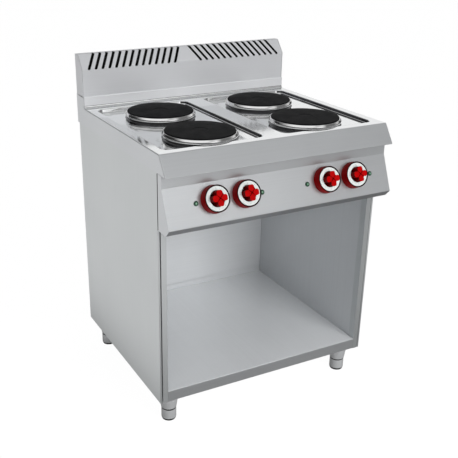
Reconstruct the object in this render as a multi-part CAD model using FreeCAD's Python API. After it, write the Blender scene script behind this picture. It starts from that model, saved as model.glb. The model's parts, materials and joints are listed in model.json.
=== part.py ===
"""Electric cooker with four round hotplates on an open cabinet, sizes in millimetres.

X runs to the right, Y to the back and Z up. The origin is on the floor, under the middle
of the whole body, whose front is the lowest edge of the knob handles.
"""
import FreeCAD, Part
import math
import os

from FreeCAD import Vector

# Main body
worktop_width = 800.0
side_inset = 3.2
cabinet_depth = 658.0
leg_height = 100.0
cabinet_height = 777.0
worktop_edge = 60.0
worktop_sheet = 2.0
cabinet_sheet = 1.5
liner_sheet = 1.2
bend_radius = 1.2
seam_gap = 0.3

# Worktop front edge and rear upstand, measured from the cabinet front and back
nose_top_forward = 23.0
nose_bottom_forward = 64.0
nose_return = 16.0
upstand_depth = 69.0
upstand_height = 39.0
upstand_flange = 14.0

# Pressed wells
well_outer_rim = 30.0
well_front_rim = 33.0
well_rear_rim = 37.0
well_centre_rim = 68.0
well_corner_radius = 24.0
well_step_drop = 10.0
well_wall_run = 3.0
well_depth = 12.0

# Vent hood on the upstand
vent_setback = 5.0
vent_face_height = 92.0
vent_slope_rise = 44.0
vent_slope_run = 37.0
vent_cheek_inset = 0.5
vent_gap = 0.8
vent_back_lap = 20.0
slot_count = 14
slot_width = 11.0
slot_lean = 30.0
slot_drop = 4.0
slot_top_reach = 16.0
slot_group_inner = 36.0
slot_group_outer = 25.1
slot_corner_share = 0.6

# Hotplates
plate_column_share = 0.46905
plate_rise = 11.0
plate_rim_thickness = 5.0
plate_body_drop = 19.0
plate_body_inset = 6.5
plate_dimple_radius = 24.0
plate_dimple_depth = 1.0
plate_edge_chamfer = 1.4
plate_heater_wall = 7.0
plate_heater_recess = 4.0
plate_hub_radius = 20.0

# Spill rings round the hotplates
ring_front_clearance = 4.0
ring_rear_clearance = 15.4
ring_row_clearance = 50.6
ring_slope_clearance = 0.6
ring_width = 8.0
ring_crown_inset = 4.4
ring_crown_above_lip = 2.0
ring_lip_gap = 0.9
ring_sheet = 1.0
ring_bore_clearance = 1.0
hole_clearance = 2.5

# Hotplate clamps and connectors
stud_radius = 4.0
stud_length = 30.0
clamp_width = 25.0
clamp_sheet = 2.0
clamp_dip = 11.0
clamp_foot = 10.0
clamp_hole_clearance = 0.5
nut_flats = 13.0
nut_height = 6.5
connector_length = 34.0
connector_width = 22.0
connector_height = 14.0
connector_offset = 50.0

# Control panel, measured from the cabinet front and the worktop edge
panel_strip_forward = 27.5
panel_strip_height = 39.0
panel_face_run = 47.0
panel_face_drop = 113.5
panel_chamfer_run = 20.0
panel_chamfer_drop = 21.0
panel_bend_radius = 3.6
panel_lip_radius = 4.8
panel_top_clearance = 0.5
panel_cheek_gap = 3.0

# Knobs, switches and pilot lamps
knob_pitch = 105.0
knob_left_shift = 4.3
knob_right_shift = 15.0
knob_down_face = 52.5
bezel_height = 27.0
bezel_base_radius = 42.5
bezel_front_radius = 40.7
bezel_wall = 3.2
bezel_floor = 3.0
bezel_bore = 11.0
knob_rim_clearance = 0.9
knob_cup_bottom = 9.0
knob_cup_floor = 4.0
knob_cup_top = 22.8
dial_height = 3.0
dial_inner_radius = 24.8
handle_top = 43.7
handle_radius = 23.6
handle_lobe_radius = 9.0
handle_core_radius = 12.0
lobe_count = 4
lobe_shoulder_share = 0.75
lobe_tip_share = 0.55
lobe_round_share = 0.35
handle_chamfer = 1.6
handle_dimple_radius = 4.0
handle_dimple_depth = 2.0
hub_radius = 8.0
hub_start = 7.0
shaft_radius = 3.0
shaft_fit = 0.05
shaft_flat = 0.8
shaft_tip = 30.0
shaft_root = 26.0
collar_radius = 5.0
collar_tip = 4.5
collar_hole_clearance = 0.2
switch_width = 46.0
switch_height = 40.0
switch_depth = 42.0
switch_edge = 2.0
lamp_left_reach = 110.9
lamp_right_reach = 120.1
lamp_down_face = 56.1
lamp_radius = 7.5
lamp_proud = 3.0
lamp_lens_radius = 5.0
lamp_lens_proud = 4.6
lens_shoulder_share = 0.75
lens_rise_share = 0.7
lamp_tube_radius = 5.4
lamp_tube_length = 26.0

# Cabinet frame
side_front_fold = 6.5
side_fold_return = 16.0
side_rear_flange = 20.0
post_gap = 2.4
post_width = 18.0
post_depth = 28.0
opening_bottom = 40.0
compartment_height = 177.0
liner_offset = 2.0
liner_flange = 14.0
base_bar_width = 84.0
base_bar_sheet = 2.0
top_rail_height = 28.0
top_rail_depth = 27.0
floor_rear_lip = 20.0
rear_setback = 2.6

# Legs
leg_side_inset = 52.6
leg_front_inset = 52.6
leg_rear_inset = 55.0
leg_plate_size = 64.0
leg_plate_thickness = 3.0
leg_cup_top_radius = 31.0
leg_cup_belt_radius = 30.0
leg_cup_belt_drop = 22.0
leg_cup_bottom_radius = 25.6
leg_cup_height = 54.0
leg_gap = 4.0
foot_sleeve_radius = 25.0
pad_thickness = 6.0
pad_radius = 24.0
pad_taper = 2.0
foot_stem_radius = 9.0
foot_stem_clearance = 0.06
foot_stem_hole_clearance = 2.0
foot_stem_top = 130.0
foot_collar_radius = 23.6

# Supply connection
terminal_width = 96.0
terminal_height = 38.0
terminal_depth = 34.0
terminal_from_gland = 80.0
terminal_above_ceiling = 24.0
terminal_ways = 5
gland_inset = 66.8
gland_radius = 14.0
gland_nut_radius = 18.0
gland_bore = 8.5
gland_length = 22.0
gland_nut_length = 8.0

# Heater leads in their sleeves
lead_radius = 3.0
lead_exit = 30.0
lead_level_drop = 52.0
lead_front_clear = 60.0
lead_rise_start = 30.0
lead_rise_end = 12.0
lead_bend = 15.0

# Fasteners
screw_radius = 2.0
screw_head_radius = 4.5
screw_head_height = 2.4
screw_head_top_share = 0.75
screw_length = 9.0
screw_clearance = 0.15
back_screw_inset = 6.5
back_screw_margin = 62.0
back_screw_rows = 4
vent_screw_inset = 76.8
vent_screw_count = 5

cut_over = 5.0

# Heights
cabinet_width = worktop_width - 2 * side_inset
cabinet_top = leg_height + cabinet_height
worktop_top = cabinet_top + worktop_edge
frame_top = worktop_top - worktop_sheet
upstand_top = worktop_top + upstand_height
vent_bend = upstand_top + vent_face_height
vent_top = vent_bend + vent_slope_rise
floor_top = leg_height + opening_bottom
leg_cup_bottom = leg_height - leg_cup_height
ceiling_bottom = cabinet_top - compartment_height
well_floor = worktop_top - well_depth
plate_top = worktop_top + plate_rise
plate_seat = plate_top - plate_rim_thickness

# Slanted control panel face
face_length = math.hypot(panel_face_run, panel_face_drop)
face_sin = panel_face_run / face_length
face_cos = panel_face_drop / face_length
face_down = Vector(0, -face_sin, -face_cos)
face_out = Vector(0, -face_cos, face_sin)

# Depth, with the middle between the knob handles and the cabinet back
handle_reach = face_cos * handle_top + face_sin * (handle_radius - handle_chamfer)
front_reach = panel_strip_forward + face_sin * knob_down_face + handle_reach
overall_depth = cabinet_depth + front_reach
back_y = overall_depth / 2
front_y = back_y - cabinet_depth
nose_top_y = front_y - nose_top_forward
nose_bottom_y = front_y - nose_bottom_forward
upstand_y = back_y - upstand_depth
vent_y = upstand_y + vent_setback
strip_y = front_y - panel_strip_forward
strip_z = cabinet_top - panel_strip_height
face_end_y = strip_y - panel_face_run
face_end_z = strip_z - panel_face_drop
panel_bottom_z = face_end_z - panel_chamfer_drop

rear_flange_y = back_y - rear_setback
back_panel_y = rear_flange_y - cabinet_sheet
inside_back_y = back_panel_y - liner_sheet

half_worktop = worktop_width / 2
half_cabinet = cabinet_width / 2
post_outer_x = half_cabinet - side_front_fold - post_gap
post_inner_x = post_outer_x - post_width
liner_x = post_inner_x + liner_offset
inside_half = half_cabinet - cabinet_sheet - seam_gap
post_top = well_floor - worktop_sheet - seam_gap
vent_cheek_x = half_worktop - vent_cheek_inset
vent_front_half = vent_cheek_x - cabinet_sheet - vent_gap
vent_top_end = back_panel_y - seam_gap
slot_room = vent_front_half - slot_group_outer - slot_group_inner - slot_lean / 2
slot_pitch = slot_room / (slot_count - 1)
gland_x = half_cabinet - gland_inset
terminal_x = gland_x - terminal_from_gland
vent_screw_spacing = 2 * (half_cabinet - vent_screw_inset) / (vent_screw_count - 1)

# Two rows and two columns of hotplates that fill the wells
well_inner_x = well_centre_rim / 2
well_outer_x = half_worktop - well_outer_rim
well_front_y = nose_top_y + well_front_rim
well_rear_y = upstand_y - well_rear_rim
ring_clearances = ring_front_clearance + ring_row_clearance + ring_rear_clearance
ring_foot_radius = (well_rear_y - well_front_y - ring_clearances) / 4
ring_crown_radius = ring_foot_radius - ring_crown_inset
plate_radius = ring_foot_radius - ring_width
plate_column_x = well_inner_x + plate_column_share * (well_outer_x - well_inner_x)
plate_front_y = well_front_y + ring_front_clearance + ring_foot_radius
plate_rear_y = well_rear_y - ring_rear_clearance - ring_foot_radius
well_slope_run = plate_column_x - ring_foot_radius - ring_slope_clearance - well_inner_x - well_wall_run
plate_places = [
    (-plate_column_x, plate_rear_y),
    (-plate_column_x, plate_front_y),
    (plate_column_x, plate_front_y),
    (plate_column_x, plate_rear_y),
]
knob_left_x = knob_left_shift - plate_column_x
knob_right_x = knob_right_shift + plate_column_x
knob_columns = [
    knob_left_x - knob_pitch / 2,
    knob_left_x + knob_pitch / 2,
    knob_right_x - knob_pitch / 2,
    knob_right_x + knob_pitch / 2,
]
lamp_columns = [
    knob_left_x - lamp_left_reach,
    knob_left_x + lamp_left_reach,
    knob_right_x - lamp_right_reach,
    knob_right_x + lamp_right_reach,
]

leg_x = half_cabinet - leg_side_inset
leg_front_y = front_y + leg_front_inset
leg_rear_y = back_y - leg_rear_inset
leg_places = [(-leg_x, leg_front_y), (leg_x, leg_front_y), (-leg_x, leg_rear_y), (leg_x, leg_rear_y)]


def box(x0, x1, y0, y1, z0, z1):
    """Box between two corners, given in any order."""
    low = Vector(min(x0, x1), min(y0, y1), min(z0, z1))
    return Part.makeBox(abs(x1 - x0), abs(y1 - y0), abs(z1 - z0), low)


def cylinder(radius, start, direction, length):
    """Cylinder from a start point along a direction."""
    return Part.makeCylinder(radius, length, start, direction)


def rounded_edges(points, radii, closed):
    """Straight and round edges through points, with the given radius at each corner."""
    count = len(points)
    stops = []
    for index in range(count):
        here = points[index]
        radius = radii[index]
        if radius <= 0 or (not closed and index in (0, count - 1)):
            stops.append((here, None, here))
            continue
        into = (points[index - 1] - here).normalize()
        away = (points[(index + 1) % count] - here).normalize()
        half_angle = into.getAngle(away) / 2
        run = radius / math.tan(half_angle)
        middle_line = (into + away).normalize()
        centre = here + middle_line * (radius / math.sin(half_angle))
        stops.append((here + into * run, centre - middle_line * radius, here + away * run))
    edges = []
    for index in range(count):
        start, middle, end = stops[index]
        if middle is not None:
            edges.append(Part.Arc(start, middle, end).toShape())
        if index + 1 < count or closed:
            following = stops[(index + 1) % count][0]
            if (following - end).Length > 0:
                edges.append(Part.LineSegment(end, following).toShape())
    return edges


def solid_profile(points, radii, extrusion):
    """Prism of a closed outline with rounded corners."""
    wire = Part.Wire(rounded_edges(points, radii, True))
    return Part.Face(wire).extrude(extrusion)


def offset_path(points, thickness, normal):
    """Path beside an open path, a sheet thickness to its left seen against the normal."""
    shifted = []
    last = len(points) - 1
    for index, here in enumerate(points):
        before = (here - points[index - 1]).normalize() if index > 0 else None
        after = (points[index + 1] - here).normalize() if index < last else None
        side_before = normal.cross(before) if before else None
        side_after = normal.cross(after) if after else None
        if before is None:
            shifted.append(here + side_after * thickness)
        elif after is None:
            shifted.append(here + side_before * thickness)
        else:
            mean = (side_before + side_after).normalize()
            shifted.append(here + mean * (thickness / mean.dot(side_before)))
    return shifted


def folded_sheet(points, thickness, radius, extrusion):
    """Bent sheet whose outer skin follows an open path."""
    normal = Vector(extrusion).normalize()
    inner = offset_path(points, thickness, normal)
    outer_radii = []
    inner_radii = []
    last = len(points) - 1
    for index, here in enumerate(points):
        if index in (0, last):
            outer_radii.append(0)
            inner_radii.append(0)
            continue
        before = here - points[index - 1]
        after = points[index + 1] - here
        turns_inward = normal.dot(before.cross(after)) > 0
        outer_radii.append(radius + thickness if turns_inward else radius)
        inner_radii.append(radius if turns_inward else radius + thickness)
    outline = points + inner[::-1]
    radii = outer_radii + inner_radii[::-1]
    return solid_profile(outline, radii, extrusion)


def along_x(profile, x0, x1):
    """Points of a Y and Z profile at one X, and the way to the other X."""
    points = [Vector(x0, y, z) for y, z in profile]
    return points, Vector(x1 - x0, 0, 0)


def rounded_rectangle(x0, x1, y0, y1, z, radius):
    """Closed wire of a rounded rectangle at one height."""
    corners = [Vector(x0, y0, z), Vector(x1, y0, z), Vector(x1, y1, z), Vector(x0, y1, z)]
    return Part.Wire(rounded_edges(corners, [radius] * len(corners), True))


def mirrored(shape):
    """The same piece on the other side of the middle plane."""
    return shape.mirror(Vector(0, 0, 0), Vector(1, 0, 0))


def revolved(profile, centre):
    """Full turn of a radius and height profile about the vertical through a centre."""
    points = [Vector(radius, 0, height) for radius, height in profile]
    face = Part.Face(Part.makePolygon(points + points[:1]))
    solid = face.revolve(Vector(0, 0, 0), Vector(0, 0, 1), 360)
    solid.translate(centre)
    return solid


def on_face(x, down, out):
    """Point of the control panel face, a way down it and a way out from it."""
    return Vector(x, strip_y, strip_z) + face_down * down + face_out * out


def face_turned(profile, x, down):
    """Full turn of a radius and height profile about the face normal at a place."""
    points = [Vector(radius, 0, height) for radius, height in profile]
    face = Part.Face(Part.makePolygon(points + points[:1]))
    return set_on_face(face.revolve(Vector(0, 0, 0), Vector(0, 0, 1), 360), x, down)


def set_on_face(shape, x, down):
    """Piece built about +Z, with its +Y up the face, set on the control panel face."""
    tilt = FreeCAD.Rotation(Vector(1, 0, 0), Vector(0, 0, 0) - face_down, face_out, "ZXY")
    shape.Placement = FreeCAD.Placement(on_face(x, down, 0), tilt)
    return shape


def screw(seat, direction):
    """Pan head screw whose head stands on its seat, outward along a direction."""
    top_radius = screw_head_radius * screw_head_top_share
    head = Part.makeCone(screw_head_radius, top_radius, screw_head_height, seat, direction)
    shank = cylinder(screw_radius, seat - direction * screw_length, direction, screw_length)
    return head.fuse(shank)


def export(name, shapes):
    """One STEP file for a node, from one solid or a list of separate solids."""
    if isinstance(shapes, list):
        shapes = Part.makeCompound(shapes)
    shapes.exportStep(os.path.join("parts", name + ".step"))


def well_bounds(side):
    """X and Y limits of the left (-1) or right (+1) well at the rim."""
    outer = side * well_outer_x
    inner = side * well_inner_x
    return min(outer, inner), max(outer, inner), well_front_y, well_rear_y


def well_solid(side, grow, drop):
    """Filled well: a steep wall, then a faint slope from each side to the flat floor."""
    x0, x1, y0, y1 = well_bounds(side)
    levels = [
        (0, 0, worktop_top - drop),
        (well_wall_run, well_wall_run, worktop_top - well_step_drop - drop),
        (well_wall_run + well_slope_run, well_wall_run, well_floor - drop),
    ]
    radius = well_corner_radius + grow
    wires = []
    for across, along, height in levels:
        in_x = across - grow
        in_y = along - grow
        wires.append(rounded_rectangle(x0 + in_x, x1 - in_x, y0 + in_y, y1 - in_y, height, radius))
    return Part.makeLoft(wires, True, True)


def plate_hole(x, y):
    """Cutter for the hole that a hotplate hangs in."""
    radius = plate_radius - plate_body_inset + ring_bore_clearance + hole_clearance
    start = Vector(x, y, well_floor - worktop_sheet - cut_over)
    return cylinder(radius, start, Vector(0, 0, 1), 4 * cut_over)


def worktop():
    """Worktop pressed with two wells, with its slanted nose, side skirts and rear upstand."""
    skin = [
        (back_y - upstand_depth + upstand_flange, upstand_top),
        (upstand_y, upstand_top),
        (upstand_y, worktop_top),
        (nose_top_y, worktop_top),
        (nose_bottom_y, cabinet_top),
        (nose_bottom_y + nose_return, cabinet_top),
    ]
    points, extrusion = along_x(skin, -half_worktop, half_worktop)
    body = folded_sheet(points, worktop_sheet, bend_radius, extrusion)
    skirt = [
        (nose_top_y, worktop_top),
        (nose_bottom_y, cabinet_top),
        (back_y, cabinet_top),
        (back_y, upstand_top),
        (upstand_y, upstand_top),
        (upstand_y, worktop_top),
    ]
    for side in (-1, 1):
        points, _ = along_x(skirt, side * half_worktop, side * half_worktop)
        plate = solid_profile(points, [worktop_sheet] * len(points), Vector(-side * worktop_sheet, 0, 0))
        body = body.fuse(plate)
    for side in (-1, 1):
        body = body.fuse(well_solid(side, worktop_sheet, worktop_sheet))
    for side in (-1, 1):
        body = body.cut(well_solid(side, 0.0, 0.0))
    for x, y in plate_places:
        body = body.cut(plate_hole(x, y))
    return body.removeSplitter()


def vent_profile(top_end):
    """Y and Z outline of the vent front: upright face, slanted face and flat top."""
    return [
        (vent_y, upstand_top),
        (vent_y, vent_bend),
        (vent_y + vent_slope_run, vent_top),
        (top_end, vent_top),
    ]


def vent_slot(x, side):
    """Cutter for one slanted slot, leaning to the middle as it rises."""
    lean = -side * slot_lean
    rise = vent_top - vent_bend
    low = vent_bend - slot_drop
    high = vent_top + cut_over
    slope = lean / rise
    low_x = x - slope * slot_drop
    high_x = x + slope * (rise + cut_over)
    half = slot_width / 2
    start = vent_y - cut_over
    points = [
        Vector(low_x - half, start, low),
        Vector(low_x + half, start, low),
        Vector(high_x + half, start, high),
        Vector(high_x - half, start, high),
    ]
    reach = vent_slope_run + slot_top_reach + cut_over
    corner = half * slot_corner_share
    radii = [corner, corner, 0, 0]
    return solid_profile(points, radii, Vector(0, reach, 0))


def vent_front():
    """Slotted front and top sheet of the vent hood."""
    points, extrusion = along_x(vent_profile(vent_top_end), vent_front_half, -vent_front_half)
    sheet = folded_sheet(points, cabinet_sheet, bend_radius, extrusion)
    slots = []
    for side in (-1, 1):
        for number in range(slot_count):
            slots.append(vent_slot(side * (slot_group_inner + slot_lean / 2 + number * slot_pitch), side))
    return sheet.cut(slots)


def vent_cheek(side):
    """End plate of the vent hood."""
    rear = back_panel_y + liner_sheet
    outline = vent_profile(rear)
    outline.append((rear, upstand_top))
    points, _ = along_x(outline, side * vent_cheek_x, 0)
    radii = [0, bend_radius, bend_radius, 0, 0]
    return solid_profile(points, radii, Vector(-side * cabinet_sheet, 0, 0))


def vent_back():
    """Rear sheet of the vent hood, lapped over the top of the back panel."""
    half = vent_cheek_x - cabinet_sheet - seam_gap
    sheet = box(-half, half, back_panel_y, back_panel_y + liner_sheet, upstand_top - vent_back_lap, vent_top)
    return sheet.cut(screw_holes(vent_screw_seats()))


def side_panel():
    """Left outer side, folded in at its front and rear edges."""
    path = [
        Vector(-half_cabinet + side_rear_flange, rear_flange_y, leg_height),
        Vector(-half_cabinet, rear_flange_y, leg_height),
        Vector(-half_cabinet, front_y, leg_height),
        Vector(-half_cabinet + side_front_fold, front_y, leg_height),
        Vector(-half_cabinet + side_front_fold, front_y + side_fold_return, leg_height),
    ]
    height = frame_top - leg_height - seam_gap
    sheet = folded_sheet(path, cabinet_sheet, bend_radius, Vector(0, 0, height))
    return sheet.cut(screw_holes(back_screw_seats()))


def inner_liner():
    """Left inner wall of the open cabinet, folded out at its front and rear edges."""
    front = front_y + post_depth + seam_gap
    rear = inside_back_y - seam_gap
    foot = floor_top - liner_sheet
    path = [
        Vector(-liner_x - liner_flange, front, foot),
        Vector(-liner_x, front, foot),
        Vector(-liner_x, rear, foot),
        Vector(-liner_x - liner_flange, rear, foot),
    ]
    return folded_sheet(path, liner_sheet, liner_sheet, Vector(0, 0, ceiling_bottom - foot))


def back_panel():
    """Rear wall, screwed to the rear flanges of the sides from outside."""
    half = half_cabinet - cabinet_sheet - bend_radius
    sheet = box(-half, half, inside_back_y, back_panel_y, leg_height, upstand_top - seam_gap)
    sheet = sheet.cut(gland_hole())
    return sheet.cut(screw_holes(back_screw_seats() + vent_screw_seats()))


def front_post():
    """Left front post, an open ended box section."""
    outer = box(-post_outer_x, -post_inner_x, front_y, front_y + post_depth, leg_height, post_top)
    wall = cabinet_sheet
    hollow = box(-post_outer_x + wall, -post_inner_x - wall, front_y + wall, front_y + post_depth - wall,
                 leg_height - cut_over, post_top + cut_over)
    return outer.cut(hollow)


def front_bottom_rail():
    """Rail across the foot of the opening, a channel open to the back."""
    half = post_inner_x - seam_gap
    top = floor_top - liner_sheet
    profile = [
        (front_y + post_depth, leg_height),
        (front_y, leg_height),
        (front_y, top),
        (front_y + post_depth, top),
    ]
    points, extrusion = along_x(profile, half, -half)
    return folded_sheet(points, cabinet_sheet, bend_radius, extrusion)


def cabinet_floor():
    """Shelf between the inner walls, notched round the posts and turned down behind."""
    half = liner_x - seam_gap
    rear = inside_back_y - seam_gap
    profile = [(front_y, floor_top), (rear, floor_top), (rear, floor_top - floor_rear_lip)]
    points, extrusion = along_x(profile, half, -half)
    sheet = folded_sheet(points, liner_sheet, bend_radius, extrusion)
    return notched_for_posts(sheet, floor_top)


def notched_for_posts(sheet, height):
    """A level sheet with room cut for the two front posts."""
    room_y = front_y + post_depth + seam_gap
    for side in (-1, 1):
        notch_x = side * (post_inner_x - seam_gap)
        edge_x = side * (half_cabinet + cut_over)
        sheet = sheet.cut(box(notch_x, edge_x, front_y - cut_over, room_y,
                              height - cut_over, height + cut_over))
    return sheet


def base_bar():
    """Left base bar under the floor, a box section that the legs bolt to."""
    outer_x = -inside_half
    inner_x = outer_x + base_bar_width
    top = floor_top - liner_sheet
    start = front_y + post_depth + seam_gap
    end = inside_back_y - liner_sheet - seam_gap - bend_radius
    body = box(outer_x, inner_x, start, end, leg_height, top)
    hollow = box(outer_x + base_bar_sheet, inner_x - base_bar_sheet, start - cut_over, end + cut_over,
                 leg_height + base_bar_sheet, top - base_bar_sheet)
    body = body.cut(hollow)
    for x, y in leg_places:
        if x < 0:
            room = foot_stem_radius + foot_stem_hole_clearance
            start = Vector(x, y, leg_height - cut_over)
            body = body.cut(cylinder(room, start, Vector(0, 0, 1), 2 * cut_over))
    return body


def top_rail(front):
    """Cross rail under the worktop, a channel open below."""
    if front:
        start = front_y + seam_gap
        half = post_inner_x - seam_gap
        top = post_top
    else:
        start = upstand_y + worktop_sheet + seam_gap
        half = inside_half
        top = frame_top - seam_gap
    end = start + top_rail_depth
    body = box(-half, half, start, end, top - top_rail_height, top)
    hollow = box(-half - cut_over, half + cut_over, start + cabinet_sheet, end - cabinet_sheet,
                 top - top_rail_height - cut_over, top - cabinet_sheet)
    return body.cut(hollow)


def compartment_ceiling():
    """Sheet that closes the open cabinet below the electric compartment."""
    profile = [
        (front_y + seam_gap, ceiling_bottom + floor_rear_lip),
        (front_y + seam_gap, ceiling_bottom),
        (inside_back_y - seam_gap, ceiling_bottom),
    ]
    points, extrusion = along_x(profile, -inside_half, inside_half)
    sheet = folded_sheet(points, liner_sheet, bend_radius, extrusion)
    room_y = front_y + post_depth + seam_gap
    for side in (-1, 1):
        notch_x = side * (post_inner_x - seam_gap)
        edge_x = side * (half_cabinet + cut_over)
        sheet = sheet.cut(box(notch_x, edge_x, front_y - cut_over, room_y,
                              ceiling_bottom - cut_over, ceiling_bottom + floor_rear_lip + cut_over))
    return sheet


def control_panel():
    """Folded control panel with its two end cheeks, open to the back."""
    top = cabinet_top - panel_top_clearance
    rear = front_y - seam_gap
    outline = [
        (rear, top),
        (strip_y, top),
        (strip_y, strip_z),
        (face_end_y, face_end_z),
        (face_end_y + panel_chamfer_run, panel_bottom_z),
        (rear, panel_bottom_z),
    ]
    radii = [0, 0, panel_bend_radius, panel_lip_radius, panel_lip_radius, 0]
    points, extrusion = along_x(outline, -half_cabinet, half_cabinet)
    body = solid_profile(points, radii, extrusion)
    inner_path = offset_path([Vector(0, y, z) for y, z in outline[1:]], cabinet_sheet, Vector(1, 0, 0))
    inner_outline = [(rear + cut_over, top + cut_over), (inner_path[0].y, top + cut_over)]
    inner_outline += [(point.y, point.z) for point in inner_path[1:-1]]
    inner_outline += [(rear + cut_over, inner_path[-1].z)]
    points, extrusion = along_x(inner_outline, -half_cabinet + cabinet_sheet, half_cabinet - cabinet_sheet)
    inner_radii = [0, 0] + [radius - cabinet_sheet if radius else 0 for radius in radii[2:5]] + [0]
    body = body.cut(solid_profile(points, inner_radii, extrusion))
    for side in (-1, 1):
        body = body.cut(box(side * (half_cabinet - cabinet_sheet), side * (half_cabinet + cut_over),
                            rear - panel_cheek_gap, rear + cut_over,
                            panel_bottom_z - cut_over, top + cut_over))
    for x in knob_columns:
        hole = cylinder(collar_radius + collar_hole_clearance, on_face(x, knob_down_face, -cut_over),
                        face_out, 2 * cut_over)
        body = body.cut(hole)
    for x in lamp_columns:
        start = on_face(x, lamp_down_face, -cut_over)
        body = body.cut(cylinder(lamp_tube_radius, start, face_out, 2 * cut_over))
    return body


def hotplate(x, y):
    """Cast iron hotplate with a shallow dimple on top and a recessed heater side."""
    body_radius = plate_radius - plate_body_inset
    bottom = plate_top - plate_body_drop
    profile = [
        (0, plate_top - plate_dimple_depth),
        (plate_dimple_radius, plate_top - plate_dimple_depth),
        (plate_dimple_radius + 2 * plate_dimple_depth, plate_top),
        (plate_radius - plate_edge_chamfer, plate_top),
        (plate_radius, plate_top - plate_edge_chamfer),
        (plate_radius, plate_seat),
        (body_radius, plate_seat),
        (body_radius, bottom),
        (body_radius - plate_heater_wall, bottom),
        (body_radius - plate_heater_wall, bottom + plate_heater_recess),
        (plate_hub_radius, bottom + plate_heater_recess),
        (plate_hub_radius, bottom),
        (0, bottom),
    ]
    return revolved(profile, Vector(x, y, 0))


def spill_ring(x, y):
    """Stainless ring that carries the hotplate rim and stands on the well floor."""
    crown_top = plate_seat + ring_crown_above_lip
    lip_outer = plate_radius + ring_lip_gap
    bore = plate_radius - plate_body_inset + ring_bore_clearance
    shoulder = crown_top - ring_crown_above_lip
    profile = [
        (ring_foot_radius, well_floor),
        (ring_crown_radius + ring_sheet / 2, shoulder),
        (ring_crown_radius - ring_sheet / 2, crown_top),
        (lip_outer, crown_top),
        (lip_outer, plate_seat),
        (bore, plate_seat),
        (bore, plate_seat - ring_sheet),
        (ring_crown_radius - ring_sheet, plate_seat - ring_sheet),
        (ring_foot_radius - ring_sheet, well_floor),
    ]
    return revolved(profile, Vector(x, y, 0))


def plate_stud(x, y):
    """Stud under the middle of a hotplate."""
    top = plate_top - plate_body_drop
    return cylinder(stud_radius, Vector(x, y, top), Vector(0, 0, -1), stud_length)


def clamp_bar(x, y):
    """Bar that pulls the hotplate down against the underside of the well."""
    reach = ring_foot_radius + clamp_foot
    touch = well_floor - worktop_sheet
    low = touch - clamp_dip
    bar = [
        Vector(x - reach, y - clamp_width / 2, touch),
        Vector(x - reach + 2 * clamp_foot, y - clamp_width / 2, touch),
        Vector(x - reach + 3 * clamp_foot, y - clamp_width / 2, low),
        Vector(x + reach - 3 * clamp_foot, y - clamp_width / 2, low),
        Vector(x + reach - 2 * clamp_foot, y - clamp_width / 2, touch),
        Vector(x + reach, y - clamp_width / 2, touch),
    ]
    sheet = folded_sheet(bar, clamp_sheet, clamp_sheet, Vector(0, clamp_width, 0))
    hole = cylinder(stud_radius + clamp_hole_clearance, Vector(x, y, low - cut_over), Vector(0, 0, 1),
                    2 * cut_over)
    return sheet.cut(hole)


def clamp_nut(x, y):
    """Hexagon nut on the hotplate stud, under the clamp bar."""
    top = well_floor - worktop_sheet - clamp_dip - clamp_sheet
    corner = nut_flats / math.sqrt(3)
    points = []
    for number in range(6):
        angle = math.radians(60 * number)
        points.append(Vector(x + corner * math.cos(angle), y + corner * math.sin(angle), top))
    body = Part.Face(Part.makePolygon(points + points[:1])).extrude(Vector(0, 0, -nut_height))
    return body.cut(cylinder(stud_radius, Vector(x, y, top + cut_over), Vector(0, 0, -1),
                             nut_height + 2 * cut_over))


def plate_connector(x, y):
    """Ceramic connector on the heater side of a hotplate, with four lead holes."""
    top = plate_top - plate_body_drop + plate_heater_recess
    start_y = y - connector_offset - connector_width / 2
    block = box(x - connector_length / 2, x + connector_length / 2, start_y, start_y + connector_width,
                top - connector_height, top)
    spacing = connector_length / 4
    for number in range(4):
        hole_x = x - connector_length / 2 + spacing * (number + 1 / 2)
        hole = cylinder(spacing / 4, Vector(hole_x, start_y - cut_over, top - connector_height / 2),
                        Vector(0, 1, 0), connector_width + 2 * cut_over)
        block = block.cut(hole)
    return block


def knob_bezel(x):
    """Fixed red sleeve round a knob, on the panel face."""
    inner = bezel_front_radius - bezel_wall
    profile = [
        (bezel_bore, 0),
        (bezel_base_radius, 0),
        (bezel_front_radius, bezel_height - bezel_wall / 2),
        (bezel_front_radius - bezel_wall / 3, bezel_height),
        (inner, bezel_height),
        (inner, bezel_floor),
        (bezel_bore, bezel_floor),
    ]
    return face_turned(profile, x, knob_down_face)


def handle_arm(turn):
    """One lobe of the cross handle, a rounded arm chamfered at its front."""
    half = handle_lobe_radius
    tip = half * lobe_tip_share
    far = handle_radius - half * lobe_shoulder_share
    bottom = knob_cup_bottom + knob_cup_floor - bend_radius
    height = handle_top - bottom
    corners = [
        Vector(0, -half, bottom),
        Vector(far, -half, bottom),
        Vector(handle_radius, -tip, bottom),
        Vector(handle_radius, tip, bottom),
        Vector(far, half, bottom),
        Vector(0, half, bottom),
    ]
    turn_radius = half * lobe_round_share
    radii = [0, turn_radius, turn_radius, turn_radius, turn_radius, 0]
    arm = solid_profile(corners, radii, Vector(0, 0, height))
    arm.rotate(Vector(0, 0, 0), Vector(0, 0, 1), turn)
    return arm


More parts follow.
